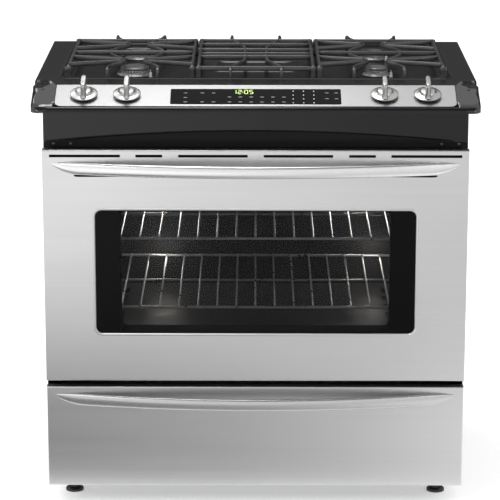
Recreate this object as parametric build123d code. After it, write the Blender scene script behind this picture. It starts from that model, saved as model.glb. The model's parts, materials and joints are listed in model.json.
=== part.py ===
from build123d import *
import math
import os

# Freestanding gas range, one solid per physical piece, in millimetres.
# Frame: +X to the viewer's right, the front faces -Y, +Z up, floor at Z = 0.
# Depths are measured as "t", the distance behind the closed door's front face.

# ---- overall size -----------------------------------------------------------
BODY_W = 911.0          # across the outside of the side panels
TOP_W = 960.0           # across the cooktop, which laps over the counters
TOP_Z = 925.0           # cooktop surface above the floor
DEPTH = 675.0           # door face to the cooktop's back edge
HANDLE_OUT = 55.0       # how far the bowed handles stand out
YD = HANDLE_OUT - (DEPTH + HANDLE_OUT) / 2.0

# ---- levels -----------------------------------------------------------------
BASE_Z = 58.0           # underside of the base pan
DRAWER_Z0 = 48.0
DRAWER_Z1 = 275.0
DOOR_Z0 = 288.0
DOOR_Z1 = 801.0
FASCIA_Z0 = 818.0
PANEL_TOP_Z = TOP_Z - 3.0

# ---- sheet ------------------------------------------------------------------
SHEET = 2.0
BODY_X = BODY_W / 2.0
INNER_X = BODY_X - SHEET
FRAME_T = 44.0          # front frame, behind the closed door
REAR_T = 670.0

# ---- oven cavity ------------------------------------------------------------
CAV_X = 330.0
CAV_Z0 = 330.0
CAV_Z1 = 735.0
CAV_T1 = 560.0
RIB_X = 318.0
RIB_LEVELS = [431.0, 483.0, 534.0, 586.0, 637.0]
RACK_LEVELS = [431.0, 586.0]
RACK_X = 323.0
RACK_T0 = 76.0
RACK_T1 = 540.0

# ---- door -------------------------------------------------------------------
WIN_X = 345.0
WIN_Z0 = 395.0
WIN_Z1 = 669.0
WIN_R = 15.0
HINGE_T = 14.0
HINGE_Z = 296.0
LUG_X0 = 405.0
LUG_X1 = 411.0
SLOTS = [(-440.0, -289.0), (-256.0, -199.0), (-165.0, -17.0),
         (17.0, 165.0), (199.0, 256.0), (289.0, 440.0)]
SLOT_Z = 788.0
HANDLE_X = 436.0
HANDLE_FOOT = 43.0
HANDLE_TALL = 27.0
DOOR_HANDLE_Z = 762.0
DRAWER_HANDLE_Z = 248.0

# ---- console ----------------------------------------------------------------
SLOPE_T0 = 10.0
SLOPE_Z0 = 894.5
SLOPE_T1 = 92.0
SLOPE = math.atan2(TOP_Z - SLOPE_Z0, SLOPE_T1 - SLOPE_T0)
SLOPE_LEN = math.hypot(TOP_Z - SLOPE_Z0, SLOPE_T1 - SLOPE_T0)
SILVER_X = 427.5
DISPLAY_X = 182.0
KNOB_XS = [-367.0, -275.0, 275.0, 367.0]
KNOB_S = 42.0           # distance up the slope to a knob's axis
KNOB_R = 29.5
STEM_R = 4.0

# ---- cooktop ----------------------------------------------------------------
WELL_X = 425.0
WELL_T0 = 170.0
WELL_T1 = 655.0
WELL_Z = 910.0
BURNERS = {
    "lf": (-270.0, 300.0, 40.0),
    "lr": (-270.0, 515.0, 33.0),
    "rf": (270.0, 300.0, 33.0),
    "rr": (270.0, 515.0, 33.0),
}
GRATE_TOP = 947.0
BAR_TALL = 12.0
BAR_WIDE = 9.0

# ---- drawer -----------------------------------------------------------------
BOX_X = 430.0
BOX_T1 = 560.0
BOX_Z0 = 76.0
BOX_Z1 = 246.0
RUN_Z = 150.0


def box(x0, x1, t0, t1, z0, z1):
    """Box between two X, two depth and two Z values."""
    size = Box(abs(x1 - x0), abs(t1 - t0), abs(z1 - z0))
    return Pos((x0 + x1) / 2, YD + (t0 + t1) / 2, (z0 + z1) / 2) * size


def prism_x(points, x0, x1):
    """Side profile given as (t, z) pairs, run from x0 to x1."""
    plane = Plane(origin=(x0, YD, 0), x_dir=(0, 1, 0), z_dir=(1, 0, 0))
    return extrude(plane * Polygon(*points, align=None), x1 - x0, dir=(1, 0, 0))


def prism_z(points, z0, z1):
    """Plan profile given as (x, t) pairs, run from z0 up to z1."""
    plane = Plane(origin=(0, YD, z0), x_dir=(1, 0, 0), z_dir=(0, 0, 1))
    return extrude(plane * Polygon(*points, align=None), z1 - z0, dir=(0, 0, 1))


def round_rect_y(x1, z0, z1, radius, t0, t1):
    """Rounded rectangle seen from the front, centred on X, from t0 back to t1."""
    plane = Plane(origin=(0, YD + t1, (z0 + z1) / 2), x_dir=(1, 0, 0), z_dir=(0, -1, 0))
    return extrude(plane * RectangleRounded(2 * x1, z1 - z0, radius), t1 - t0)


def round_rect_z(x0, x1, t0, t1, radius, z0, z1):
    """Rounded rectangle seen from above."""
    plane = Plane(origin=((x0 + x1) / 2, YD + (t0 + t1) / 2, z0))
    return extrude(plane * RectangleRounded(x1 - x0, t1 - t0, radius), z1 - z0)


def disc(x, t, z0, z1, radius):
    """Upright cylinder."""
    return Pos(x, YD + t, (z0 + z1) / 2) * Cylinder(radius, z1 - z0)


def rod_x(x0, x1, t, z, radius):
    return Pos((x0 + x1) / 2, YD + t, z) * Rot(0, 90, 0) * Cylinder(radius, abs(x1 - x0))


def rod_y(x, t0, t1, z, radius):
    return Pos(x, YD + (t0 + t1) / 2, z) * Rot(90, 0, 0) * Cylinder(radius, abs(t1 - t0))


def slope_plane(x, s, lift):
    """Plane on the console slope: local X to the right, local Z out of the slope."""
    t = SLOPE_T0 + s * math.cos(SLOPE) - lift * math.sin(SLOPE)
    z = SLOPE_Z0 + s * math.sin(SLOPE) + lift * math.cos(SLOPE)
    normal = (0, -math.sin(SLOPE), math.cos(SLOPE))
    return Plane(origin=(x, YD + t, z), x_dir=(1, 0, 0), z_dir=normal)


def slope_slab(x0, x1, s0, s1, lift0, lift1, radius=0.0):
    """Slab lying on the console slope between two lifts off its surface."""
    plane = slope_plane((x0 + x1) / 2, (s0 + s1) / 2, lift0)
    if radius > 0:
        face = RectangleRounded(x1 - x0, s1 - s0, radius)
    else:
        face = Rectangle(x1 - x0, s1 - s0)
    return extrude(plane * face, lift1 - lift0)


def slope_rod(x, lift0, lift1, radius):
    """Cylinder on a knob's axis between two lifts off the slope."""
    return extrude(slope_plane(x, KNOB_S, lift0) * Circle(radius), lift1 - lift0)


def mirror_x(shape):
    return mirror(shape, about=Plane.YZ)


# ---- chassis ----------------------------------------------------------------
def side_panel():
    """Right-hand side panel: sheet with folded flanges at front, back and foot."""
    panel = box(INNER_X, BODY_X, FRAME_T, REAR_T, BASE_Z, PANEL_TOP_Z)
    panel += box(INNER_X - 22, INNER_X, FRAME_T + 2, FRAME_T + 4, BASE_Z + 220, 814)
    panel += box(INNER_X - 22, INNER_X, REAR_T - 4, REAR_T - 2, BASE_Z + 2, PANEL_TOP_Z)
    panel -= box(INNER_X - 30, BODY_X + 1, FRAME_T - 1, SLOPE_T1 + 3.2, 880, TOP_Z)
    return panel


def rear_panel():
    """Back sheet with a vent grille, a lower pipe hole and a stiffening rib."""
    panel = box(-BODY_X, BODY_X, REAR_T, REAR_T + 2, BASE_Z, PANEL_TOP_Z)
    for row in range(4):
        for col in range(-4, 5):
            panel -= box(col * 70 - 26, col * 70 + 26, REAR_T - 1, REAR_T + 3,
                         800 + row * 16, 805 + row * 16)
    panel -= rod_y(300, REAR_T - 1, REAR_T + 3, 130, 16)
    for z in (300, 520):
        panel += box(-380, 380, REAR_T + 2, REAR_T + 4, z, z + 24)
    return panel


def base_pan():
    """Bottom sheet with edges folded up, holes for the legs and drainage slots."""
    pan = box(-INNER_X, INNER_X, 64, REAR_T - 4, BASE_Z, BASE_Z + 2)
    pan += box(-INNER_X, INNER_X, REAR_T - 6, REAR_T - 4, BASE_Z, BASE_Z + 16)
    for side in (-1, 1):
        for t in (110, 610):
            pan -= disc(side * 405, t, BASE_Z - 1, BASE_Z + 3, 6)
    for x in range(-240, 241, 120):
        pan -= box(x - 30, x + 30, 300, 306, BASE_Z - 1, BASE_Z + 3)
    return pan


def toe_panel():
    """Black kick board set back under the drawer."""
    board = box(-440, 440, 62, 64, 32, BASE_Z + 2)
    board += box(-440, 440, 64, 80, BASE_Z - 2, BASE_Z)
    return board


def front_frame():
    """Face frame around the oven mouth with the two hinge lugs standing forward."""
    frame = box(-INNER_X, INNER_X, FRAME_T, FRAME_T + 2, 278, 830)
    frame -= box(-CAV_X, CAV_X, FRAME_T - 1, FRAME_T + 3, CAV_Z0, CAV_Z1)
    for side in (-1, 1):
        lug = box(LUG_X0, LUG_X1, HINGE_T, FRAME_T, HINGE_Z - 6, HINGE_Z + 6)
        lug += rod_x(LUG_X0, LUG_X1, HINGE_T, HINGE_Z, 8)
        lug -= rod_x(LUG_X0 - 1, LUG_X1 + 1, HINGE_T, HINGE_Z, STEM_R + 0.05)
        frame += lug if side > 0 else mirror_x(lug)
    return frame


def leveling_legs():
    """Four screw legs: hex foot, round pad and a threaded stud in the base pan."""
    legs = []
    for side in (-1, 1):
        for t in (110, 610):
            leg = disc(side * 405, t, 0, 8, 20)
            leg = chamfer(leg.edges().group_by(Axis.Z)[-1], 3)
            hexagon = Pos(side * 405, YD + t, 8) * RegularPolygon(13, 6)
            leg += extrude(hexagon, 14)
            leg += disc(side * 405, t, 22, BASE_Z, 9)
            leg += disc(side * 405, t, BASE_Z, BASE_Z + 10, 5.9)
            legs.append(leg)
    return legs


# ---- oven -------------------------------------------------------------------
def oven_liner():
    """Enamelled five-sided cavity with pressed rack ribs on both side walls."""
    wall = SHEET
    liner = box(-CAV_X - wall, CAV_X + wall, FRAME_T + 2, CAV_T1 + wall,
                CAV_Z0 - wall, CAV_Z1 + wall)
    liner -= box(-CAV_X, CAV_X, FRAME_T, CAV_T1, CAV_Z0, CAV_Z1)
    for side in (-1, 1):
        for level in RIB_LEVELS:
            rib = box(RIB_X, CAV_X, 70, 548, level - 6, level)
            liner += rib if side > 0 else mirror_x(rib)
    for side in (-1, 1):
        liner -= rod_y(side * 235, CAV_T1 - 1, CAV_T1 + 3, 655, 20)
    return liner


def oven_floor_panel():
    """Lift-out oven floor over the bake burner, slotted along both sides."""
    panel = box(-326, 326, 60, 550, 362, 364)
    for side in (-1, 1):
        panel += box(side * 324, side * 326, 60, 550, CAV_Z0, 362)
        for k in range(6):
            t = 110 + k * 70
            panel -= box(side * 296, side * 304, t, t + 40, 361, 365)
    panel += box(-326, 326, 548, 550, CAV_Z0, 362)
    return panel


def bake_burner():
    """Straight tube burner along the oven's middle with two rows of ports."""
    tube = rod_y(0, 90, 545, 346, 11)
    tube += box(-20, 20, 100, 110, CAV_Z0, 346)
    tube += box(-20, 20, 500, 510, CAV_Z0, 346)
    for k in range(12):
        tube -= rod_x(-14, 14, 140 + k * 28, 350, 1.6)
    return tube


def broil_burner():
    """Looped broil tube hung from the cavity roof on four posts."""
    loop = rod_x(-180, 180, 150, 716, 7)
    loop += rod_x(-180, 180, 430, 716, 7)
    for side in (-1, 1):
        loop += rod_y(side * 180, 150, 430, 716, 7)
        loop += rod_y(side * 60, 150, 430, 716, 6)
        for t in (150, 430):
            loop += disc(side * 120, t, 716, CAV_Z1, 4)
    return loop


def oven_lamp(side):
    """Round lamp in the back wall: domed lens in front, socket behind."""
    x = side * 235
    lamp = rod_y(x, CAV_T1 - 5, CAV_T1, 655, 29)
    lamp += rod_y(x, CAV_T1 - 14, CAV_T1 - 5, 655, 22)
    lamp += rod_y(x, CAV_T1, CAV_T1 + 40, 655, 19)
    return lamp


def oven_rack(level):
    """Wire rack: frame rails with cross wires along the depth and a raised back stop."""
    z = level + 3.2
    rack = rod_x(-RACK_X, RACK_X, RACK_T0, z, 3)
    rack += rod_x(-RACK_X, RACK_X, RACK_T1, z, 3)
    rack += rod_x(-RACK_X, RACK_X, (RACK_T0 + RACK_T1) / 2, z, 3)
    for side in (-1, 1):
        rack += rod_y(side * RACK_X, RACK_T0, RACK_T1, z, 3)
        for t in (RACK_T0, RACK_T1):
            rack += Pos(side * RACK_X, YD + t, z) * Sphere(3)
    for k in range(-7, 8):
        rack += rod_y(k * 42, RACK_T0, RACK_T1, z + 2.6, 2)
    return rack


def door_gasket():
    """Woven seal ring standing just short of the closed door."""
    ring = round_rect_y(344, CAV_Z0 - 11, CAV_Z1 + 14, 16, 38.4, FRAME_T)
    ring -= round_rect_y(334, CAV_Z0 - 2, CAV_Z1 + 4, 8, 38, FRAME_T + 1)
    return ring


# ---- cooktop ----------------------------------------------------------------
def cooktop_panel():
    """Enamelled top: flat margins, recessed burner well and turned-down edges."""
    half = TOP_W / 2
    top = round_rect_z(-half, half, SLOPE_T1, DEPTH, 4, PANEL_TOP_Z, TOP_Z)
    lip = round_rect_z(-half, half, SLOPE_T1, DEPTH, 4, TOP_Z - 10, PANEL_TOP_Z)
    lip -= round_rect_z(-half + 3, half - 3, SLOPE_T1 + 3, DEPTH - 3, 2, TOP_Z - 11, TOP_Z)
    lip -= box(-half + 40, half - 40, SLOPE_T1 - 1, SLOPE_T1 + 4, TOP_Z - 11, PANEL_TOP_Z)
    lip -= box(-BODY_X, BODY_X, DEPTH - 5, DEPTH + 1, TOP_Z - 11, PANEL_TOP_Z)
    tray = round_rect_z(-WELL_X - 3, WELL_X + 3, WELL_T0 - 3, WELL_T1 + 3, 28,
                        WELL_Z - 3, PANEL_TOP_Z)
    well = round_rect_z(-WELL_X, WELL_X, WELL_T0, WELL_T1, 25, WELL_Z, TOP_Z + 1)
    top = top + lip + tray - well
    top += round_rect_z(-96, 96, 333, 472, 12, WELL_Z, WELL_Z + 3)
    for x, t, radius in BURNERS.values():
        top -= disc(x, t, WELL_Z - 5, WELL_Z + 1, 22)
    return top


def burner_base(x, t, radius):
    """Aluminium burner head: flange, slotted crown and gas throat."""
    base = disc(x, t, WELL_Z, WELL_Z + 4, radius)
    base += disc(x, t, WELL_Z + 4, WELL_Z + 14, radius - 7)
    base += disc(x, t, 884, WELL_Z, 21.5)
    base -= disc(x, t, 883, WELL_Z + 8, 9)
    for k in range(24):
        turn = Pos(x, YD + t, WELL_Z + 11.5) * Rot(0, 0, k * 15)
        base -= turn * Pos(radius - 8, 0, 0) * Box(6, 1.8, 5)
    return base


def burner_cap(x, t, radius):
    """Enamelled cap resting on the crown, edge rounded over."""
    cap = disc(x, t, WELL_Z + 14, WELL_Z + 21, radius - 9)
    cap = fillet(cap.edges().group_by(Axis.Z)[-1], 4)
    return cap


def bar(x0, t0, x1, t1, wide=BAR_WIDE, top=GRATE_TOP, tall=BAR_TALL):
    """Cast bar between two plan points with its top at the cooking level."""
    length = math.hypot(x1 - x0, t1 - t0) + wide * 0.6
    angle = math.degrees(math.atan2(t1 - t0, x1 - x0))
    place = Pos((x0 + x1) / 2, YD + (t0 + t1) / 2, top - tall / 2) * Rot(0, 0, angle)
    return place * Box(length, wide, tall)


def foot(x, t, wide=11.0):
    """Leg of a grate reaching down to the floor of the well."""
    return box(x - wide / 2, x + wide / 2, t - wide / 2, t + wide / 2,
               WELL_Z + 0.1, GRATE_TOP - 2)


def side_grate():
    """Left-hand cast grate over two burners."""
    xc = -270.0
    xo = -412.0
    xi = -140.0
    grate = bar(xo, 204, xo, 572)
    grate += bar(xi, 204, xi, 572)
    for t in (407, 572):
        grate += bar(xo, t, xi, t)
    for tc in (300.0, 515.0):
        for side in (-1, 1):
            grate += bar(xo, tc + side * 42, xc - 42, tc + side * 20)
            grate += bar(xi, tc + side * 42, xc + 42, tc + side * 20)
        grate += bar(xc - 42, tc - 20, xc - 42, tc + 20)
        grate += bar(xc + 42, tc - 20, xc + 42, tc + 20)
    for side in (-1, 1):
        x = xc + side * 55
        grate += bar(x, 186, x, 204)
        grate += foot(x, 186)
        grate += bar(x, 204, xc + side * 42, 280)
        grate += bar(xc + side * 42, 320, x, 407)
        grate += bar(x, 407, xc + side * 42, 495)
        grate += bar(xc + side * 42, 535, x, 572)
        grate += bar(x, 572, x, 632)
        grate += foot(x, 632)
    for x in (xo, xi):
        for t in (204, 572):
            grate += foot(x, t, 14.0 if x == xo else 11.0)
    return grate


def center_grate():
    """Middle cast grate, used as a trivet between the burner pairs."""
    xo = 126.0
    grate = bar(-xo, 204, -xo, 572)
    grate += bar(xo, 204, xo, 572)
    for t in (204, 349, 388, 441, 517, 572):
        grate += bar(-xo, t, xo, t)
    for side in (-1, 1):
        grate += bar(side * 55, 186, side * 55, 204)
        grate += foot(side * 55, 186)
        grate += bar(side * 55, 204, side * 24, 300)
        grate += bar(side * 24, 300, side * 24, 480)
        grate += bar(side * 24, 480, side * 55, 572)
        grate += bar(side * 55, 572, side * 55, 632)
        grate += foot(side * 55, 632)
        for t in (204, 572):
            grate += foot(side * xo, t)
    return grate


# ---- console ----------------------------------------------------------------
def console_fascia():
    """Black fascia, its shelf and the sloping tray that carries the control panel."""
    rise = math.tan(SLOPE)
    seat_t = SLOPE_T0 + 2.5 * math.sin(SLOPE)
    seat_z = SLOPE_Z0 - 2.5 * math.cos(SLOPE)
    under = 2.0 / math.cos(SLOPE)
    back_z = seat_z + (SLOPE_T1 - seat_t) * rise
    points = [(3, FASCIA_Z0), (3, 886), (6.5, seat_z - 1.2), (seat_t, seat_z),
              (SLOPE_T1, back_z), (SLOPE_T1, 905), (SLOPE_T1 - 2, 905),
              (SLOPE_T1 - 2, back_z - 2 * rise - under), (seat_t, seat_z - under),
              (11, 820), (FRAME_T, 820), (FRAME_T, FASCIA_Z0)]
    fascia = prism_x(points, -452, 452)
    fascia += box(-452, 452, 26, 28, 799, FASCIA_Z0)
    arch = ThreePointArc((-446, 0, 822), (0, 0, 845), (446, 0, 822))
    edge = Line((446, 0, 822), (-446, 0, 822))
    scoop = Pos(0, YD - 2, 0) * make_face(arch + edge)
    fascia -= extrude(scoop, amount=9, dir=(0, 1, 0))
    for x in KNOB_XS:
        fascia -= slope_rod(x, -8, 1, 7)
    for x in range(-360, 361, 60):
        fascia -= box(x - 18, x + 18, 30, 38, FASCIA_Z0 - 1, 821)
    return fascia


def end_cap():
    """Right-hand end of the console, rounded where it laps over the counter."""
    profile = [(4, 880), (4, 893), (SLOPE_T0, SLOPE_Z0 + 1.0), (SLOPE_T1, TOP_Z),
               (SLOPE_T1, 880)]
    outer = prism_x(profile, INNER_X - 1.5, TOP_W / 2)
    rim = [e for e in outer.edges() if abs(e.center().X - TOP_W / 2) < 0.01]
    rim = [e for e in rim if e.center().Z > 881 and e.center().Y < YD + SLOPE_T1 - 1]
    outer = fillet(rim, 7)
    outer -= box(440, BODY_X, SLOPE_T0, SLOPE_T1 + 1, 870, 884)
    inner = slope_slab(428, 452.5, 0, SLOPE_LEN, -2.5, 0)
    return outer + inner - box(420, 481, SLOPE_T1, SLOPE_T1 + 5, 870, 930)


def console_panel():
    """Brushed control panel on the slope, lower corners rounded."""
    panel = slope_slab(-SILVER_X, SILVER_X, 0, SLOPE_LEN, -2.5, 0, 14)
    panel += slope_slab(-SILVER_X, SILVER_X, 30, SLOPE_LEN, -2.5, 0)
    panel -= slope_slab(-DISPLAY_X - 0.3, DISPLAY_X + 0.3, 7.7, 70.3, -4, 1, 3)
    panel -= box(-SILVER_X - 1, SILVER_X + 1, SLOPE_T1, SLOPE_T1 + 5, 900, 930)
    for x in KNOB_XS:
        panel -= slope_rod(x, -4, 1, 6)
    return panel


def display_glass():
    """Dark glass strip let into the control panel."""
    return slope_slab(-DISPLAY_X, DISPLAY_X, 8, 70, -2.5, 0.7, 3)


def knob(x):
    """Control knob: dished skirt, waist and a tall narrow grip."""
    skirt = slope_rod(x, 5, 9, KNOB_R)
    skirt = chamfer(skirt.edges().group_by(Axis.Z)[-1], 1.2)
    neck = slope_rod(x, 9, 15, 17)
    grip = slope_slab(x - 6.5, x + 6.5, KNOB_S - 24, KNOB_S + 24, 9, 40, 5)
    side = slope_slab(x - 8, x + 8, KNOB_S - 26, KNOB_S + 26, 9, 12, 6)
    body = skirt + neck + grip + side
    body -= slope_rod(x, 4, 27, STEM_R + 0.05)
    return body


def valve_stem(x):
    """Push stem of one gas valve."""
    return slope_rod(x, -44, 24, STEM_R)


def valve_body(x):
    """Brass gas valve on the manifold with a bore for its push stem."""
    valve = slope_rod(x, -56, -18, 11.5)
    valve -= slope_rod(x, -50, -17, STEM_R + 0.05)
    t = SLOPE_T0 + KNOB_S * math.cos(SLOPE) + 50 * math.sin(SLOPE)
    z = SLOPE_Z0 + KNOB_S * math.sin(SLOPE) - 50 * math.cos(SLOPE)
    valve += rod_y(x, t + 4, 80, z, 6)
    return valve


def gas_manifold():
    """Square gas rail across the range behind the console."""
    rail = box(-INNER_X, INNER_X, 80, 98, 852, 870)
    return rail


def supply_pipe():
    """Pipe from the regulator up the back and forward to the gas rail."""
    pipe = rod_y(300, 98, 640, 861, 8)
    pipe += disc(300, 640, 160, 861, 8)
    pipe += Pos(300, YD + 640, 861) * Sphere(9)
    return pipe


def pressure_regulator():
    """Cast regulator fixed to the back panel with a threaded gas inlet."""
    body = box(278, 322, 618, REAR_T, 112, 148)
    body += disc(300, 640, 148, 160, 12)
    body += disc(300, 640, 92, 112, 17)
    body += rod_y(300, REAR_T, REAR_T + 2, 130, 14)
    body -= rod_y(300, 645, REAR_T + 3, 130, 9.5)
    return body


# ---- door -------------------------------------------------------------------
def door_panel():
    """Brushed outer skin of the door with its window and vent slots."""
    skin = box(-BODY_X, BODY_X, 0, 20, DOOR_Z0, DOOR_Z1)
    skin = fillet([e for e in skin.edges() if abs(e.center().Y - YD) < 0.01], 3)
    skin -= box(-BODY_X + 2, BODY_X - 2, 2, 21, DOOR_Z0 + 2, DOOR_Z1 - 2)
    skin -= round_rect_y(WIN_X, WIN_Z0, WIN_Z1, WIN_R, -1, 3)
    for x0, x1 in SLOTS:
        skin -= box(x0, x1, -1, 3, SLOT_Z - 3, SLOT_Z + 3)
    for side in (-1, 1):
        skin -= box(side * 400, side * 416, 2, 21, DOOR_Z0 - 1, DOOR_Z0 + 3)
    return skin


def door_glass():
    """Outer pane behind the window, flush with the skin's inner face."""
    return round_rect_y(WIN_X + 14, WIN_Z0 - 14, WIN_Z1 + 14, 20, 2, 6)


def door_liner():
    """Inner door pan, pressed back towards the oven, with a window frame."""
    liner = box(-BODY_X + 2, BODY_X - 2, 18, 20, DOOR_Z0 + 2, DOOR_Z1 - 2)
    liner += round_rect_y(420, 318, 770, 14, 20, 38)
    liner -= round_rect_y(418, 320, 768, 12, 17, 36)
    liner -= round_rect_y(290, 405, 660, 12, 35, 39)
    for side in (-1, 1):
        liner -= box(side * 400, side * 416, 17, 21, DOOR_Z0 + 1, 312)
    return liner


def door_glass_inner():
    """Inner heat-resistant pane held against the door pan."""
    return round_rect_y(306, 389, 676, 10, 32, 36)


def door_hinge():
    """Right-hand hinge: two cheeks, a bridge and the pin through the frame's lug."""
    hinge = box(396, 402, 4, 18, DOOR_Z0 + 2, 332)
    hinge += box(414, 420, 4, 18, DOOR_Z0 + 2, 332)
    hinge += box(402, 414, 4, 18, 314, 332)
    hinge += rod_x(401, 415, HINGE_T, HINGE_Z, STEM_R)
    return hinge


def handle(zc):
    """Bowed grip: crescent in plan, lower corners swept up to pointed ends."""
    low = zc - HANDLE_TALL / 2
    high = zc + HANDLE_TALL / 2
    outer = ThreePointArc((-HANDLE_X, 0), (0, -HANDLE_OUT), (HANDLE_X, 0))
    inner_x = HANDLE_X - HANDLE_FOOT
    inner = ThreePointArc((inner_x, 0), (0, -HANDLE_OUT + 16), (-inner_x, 0))
    close_a = Line((HANDLE_X, 0), (inner_x, 0))
    close_b = Line((-inner_x, 0), (-HANDLE_X, 0))
    plan = make_face(outer + close_a + inner + close_b)
    grip = extrude(Pos(0, YD, low) * plan, high - low, dir=(0, 0, 1))
    crest = [(-HANDLE_X, high - 8), (-HANDLE_X + 20, low + 9), (-HANDLE_X + 62, low),
             (HANDLE_X - 62, low), (HANDLE_X - 20, low + 9), (HANDLE_X, high - 8),
             (HANDLE_X, high), (-HANDLE_X, high)]
    plane = Plane(origin=(0, YD + 1, 0), x_dir=(1, 0, 0), z_dir=(0, -1, 0))
    side = extrude(plane * Polygon(*crest, align=None), HANDLE_OUT + 2, dir=(0, -1, 0))
    return grip & side


# ---- drawer -----------------------------------------------------------------
def drawer_front():
    """Brushed drawer front, a shallow folded pan."""
    front = box(-BODY_X + 1, BODY_X - 1, 0, 20, DRAWER_Z0, DRAWER_Z1)
    front = fillet([e for e in front.edges() if abs(e.center().Y - YD) < 0.01], 3)
    front -= box(-BODY_X + 3, BODY_X - 3, 2, 18, DRAWER_Z0 + 2, DRAWER_Z1 - 2)
    return front


def drawer_box():
    """Open-topped storage box with a runner strip on each side."""
    body = box(-BOX_X, BOX_X, 20, BOX_T1, BOX_Z0, BOX_Z1)
    body -= box(-BOX_X + 2, BOX_X - 2, 22, BOX_T1 - 2, BOX_Z0 + 2, BOX_Z1 + 1)
    for side in (-1, 1):
        body += box(side * BOX_X, side * (BOX_X + 13), 70, BOX_T1, RUN_Z, RUN_Z + 12)
    return body


def drawer_rail():
    """Right-hand channel the drawer's runner slides in."""
    rail = box(432, INNER_X, FRAME_T + 4, 600, RUN_Z - 6, RUN_Z + 18)
    rail -= box(431, 445, FRAME_T + 3, 596, RUN_Z - 0.5, RUN_Z + 12.5)
    return rail


def build_all():
    """Every node of the range by name."""
    nodes = {
        "side_panel_right": side_panel(),
        "rear_panel": rear_panel(),
        "base_pan": base_pan(),
        "toe_panel": toe_panel(),
        "front_frame": front_frame(),
        "leveling_legs": leveling_legs(),
        "oven_liner": oven_liner(),
        "oven_floor_panel": oven_floor_panel(),
        "bake_burner": bake_burner(),
        "broil_burner": broil_burner(),
        "oven_lamp_left": oven_lamp(-1),
        "oven_lamp_right": oven_lamp(1),
        "oven_rack_lower": oven_rack(RACK_LEVELS[0]),
        "oven_rack_upper": oven_rack(RACK_LEVELS[1]),
        "door_gasket": door_gasket(),
        "cooktop_panel": cooktop_panel(),
        "grate_left": side_grate(),
        "grate_center": center_grate(),
        "console_fascia": console_fascia(),
        "end_cap_right": end_cap(),
        "console_panel": console_panel(),
        "display_glass": display_glass(),
        "gas_manifold": gas_manifold(),
        "supply_pipe": supply_pipe(),
        "pressure_regulator": pressure_regulator(),
        "door_panel": door_panel(),
        "door_glass": door_glass(),
        "door_liner": door_liner(),
        "door_glass_inner": door_glass_inner(),
        "door_hinge_right": door_hinge(),
        "door_handle": handle(DOOR_HANDLE_Z),
        "drawer_front": drawer_front(),
        "drawer_box": drawer_box(),
        "drawer_handle": handle(DRAWER_HANDLE_Z),
        "drawer_rail_right": drawer_rail(),
    }
    nodes["side_panel_left"] = mirror_x(nodes["side_panel_right"])
    nodes["end_cap_left"] = mirror_x(nodes["end_cap_right"])
    nodes["grate_right"] = mirror_x(nodes["grate_left"])
    nodes["door_hinge_left"] = mirror_x(nodes["door_hinge_right"])
    nodes["drawer_rail_left"] = mirror_x(nodes["drawer_rail_right"])
    for key, (x, t, radius) in BURNERS.items():
        nodes["burner_base_" + key] = burner_base(x, t, radius)
        nodes["burner_cap_" + key] = burner_cap(x, t, radius)
    for number, x in enumerate(KNOB_XS, start=1):
        nodes["knob_%d" % number] = knob(x)
        nodes["valve_stem_%d" % number] = valve_stem(x)
        nodes["valve_body_%d" % number] = valve_body(x)
    return nodes


def main():
    os.makedirs("parts", exist_ok=True)
    for name, shape in build_all().items():
        if isinstance(shape, list):
            shape = Compound(children=shape)
        shape.label = name
        export_step(shape, os.path.join("parts", name + ".step"))


if __name__ == "__main__":
    main()
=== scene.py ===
import json
import math

import bmesh
import bpy
import numpy as np
from bpy.props import FloatProperty, FloatVectorProperty, PointerProperty
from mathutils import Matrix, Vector


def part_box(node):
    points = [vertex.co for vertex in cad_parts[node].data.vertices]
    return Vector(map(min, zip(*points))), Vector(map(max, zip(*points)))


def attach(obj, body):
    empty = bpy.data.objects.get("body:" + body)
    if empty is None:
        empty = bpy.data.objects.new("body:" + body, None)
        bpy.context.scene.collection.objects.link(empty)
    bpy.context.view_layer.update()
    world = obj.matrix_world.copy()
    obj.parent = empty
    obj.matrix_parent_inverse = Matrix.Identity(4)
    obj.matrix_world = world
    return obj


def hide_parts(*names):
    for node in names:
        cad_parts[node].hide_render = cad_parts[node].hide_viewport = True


bl_info = {
    "name": "Gas range finisher",
    "version": (1, 0, 0),
    "blender": (4, 5, 0),
    "location": "View3D > Sidebar > Gas range",
    "description": "Builds the visible surfaces and finishes of a gas range",
    "category": "Object",
}

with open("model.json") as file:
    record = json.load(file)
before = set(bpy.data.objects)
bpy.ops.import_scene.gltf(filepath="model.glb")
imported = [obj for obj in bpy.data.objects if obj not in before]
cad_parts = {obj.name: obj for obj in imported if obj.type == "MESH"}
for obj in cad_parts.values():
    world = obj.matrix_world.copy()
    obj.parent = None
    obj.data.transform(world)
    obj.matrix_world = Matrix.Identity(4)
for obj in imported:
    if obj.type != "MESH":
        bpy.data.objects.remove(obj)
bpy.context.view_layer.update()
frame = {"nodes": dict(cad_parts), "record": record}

# ---- places taken from the frame (metres) -----------------------------------
# Depths called t are measured back from the door's face; x is across, z is up.
FACE_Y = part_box("door_panel")[0][1]
TOP_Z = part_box("cooktop_panel")[1][2]
DESIGN_TOP = 0.925
SHEET_HALF_X, SHEET_T0, SHEET_T1 = 0.480, 0.092, 0.675
EDGE_RADIUS, EDGE_SKIRT = 0.003, 0.007
SLOPE_T0, SLOPE_T1 = 0.010, SHEET_T0
SLOPE_Z0 = TOP_Z - 0.0305
SLOPE = math.atan2(TOP_Z - SLOPE_Z0, SLOPE_T1 - SLOPE_T0)
WELL_DEPTH = 0.015
WELL_FLOOR = TOP_Z - WELL_DEPTH
WELL_PLAN = (0.425, 0.170, 0.655, 0.025)
BARS_TOP = TOP_Z + 0.022
KNOB_S = 0.042
KNOB_XS = (-0.367, -0.275, 0.275, 0.367)
CLOCK_S = 0.0575
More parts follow.
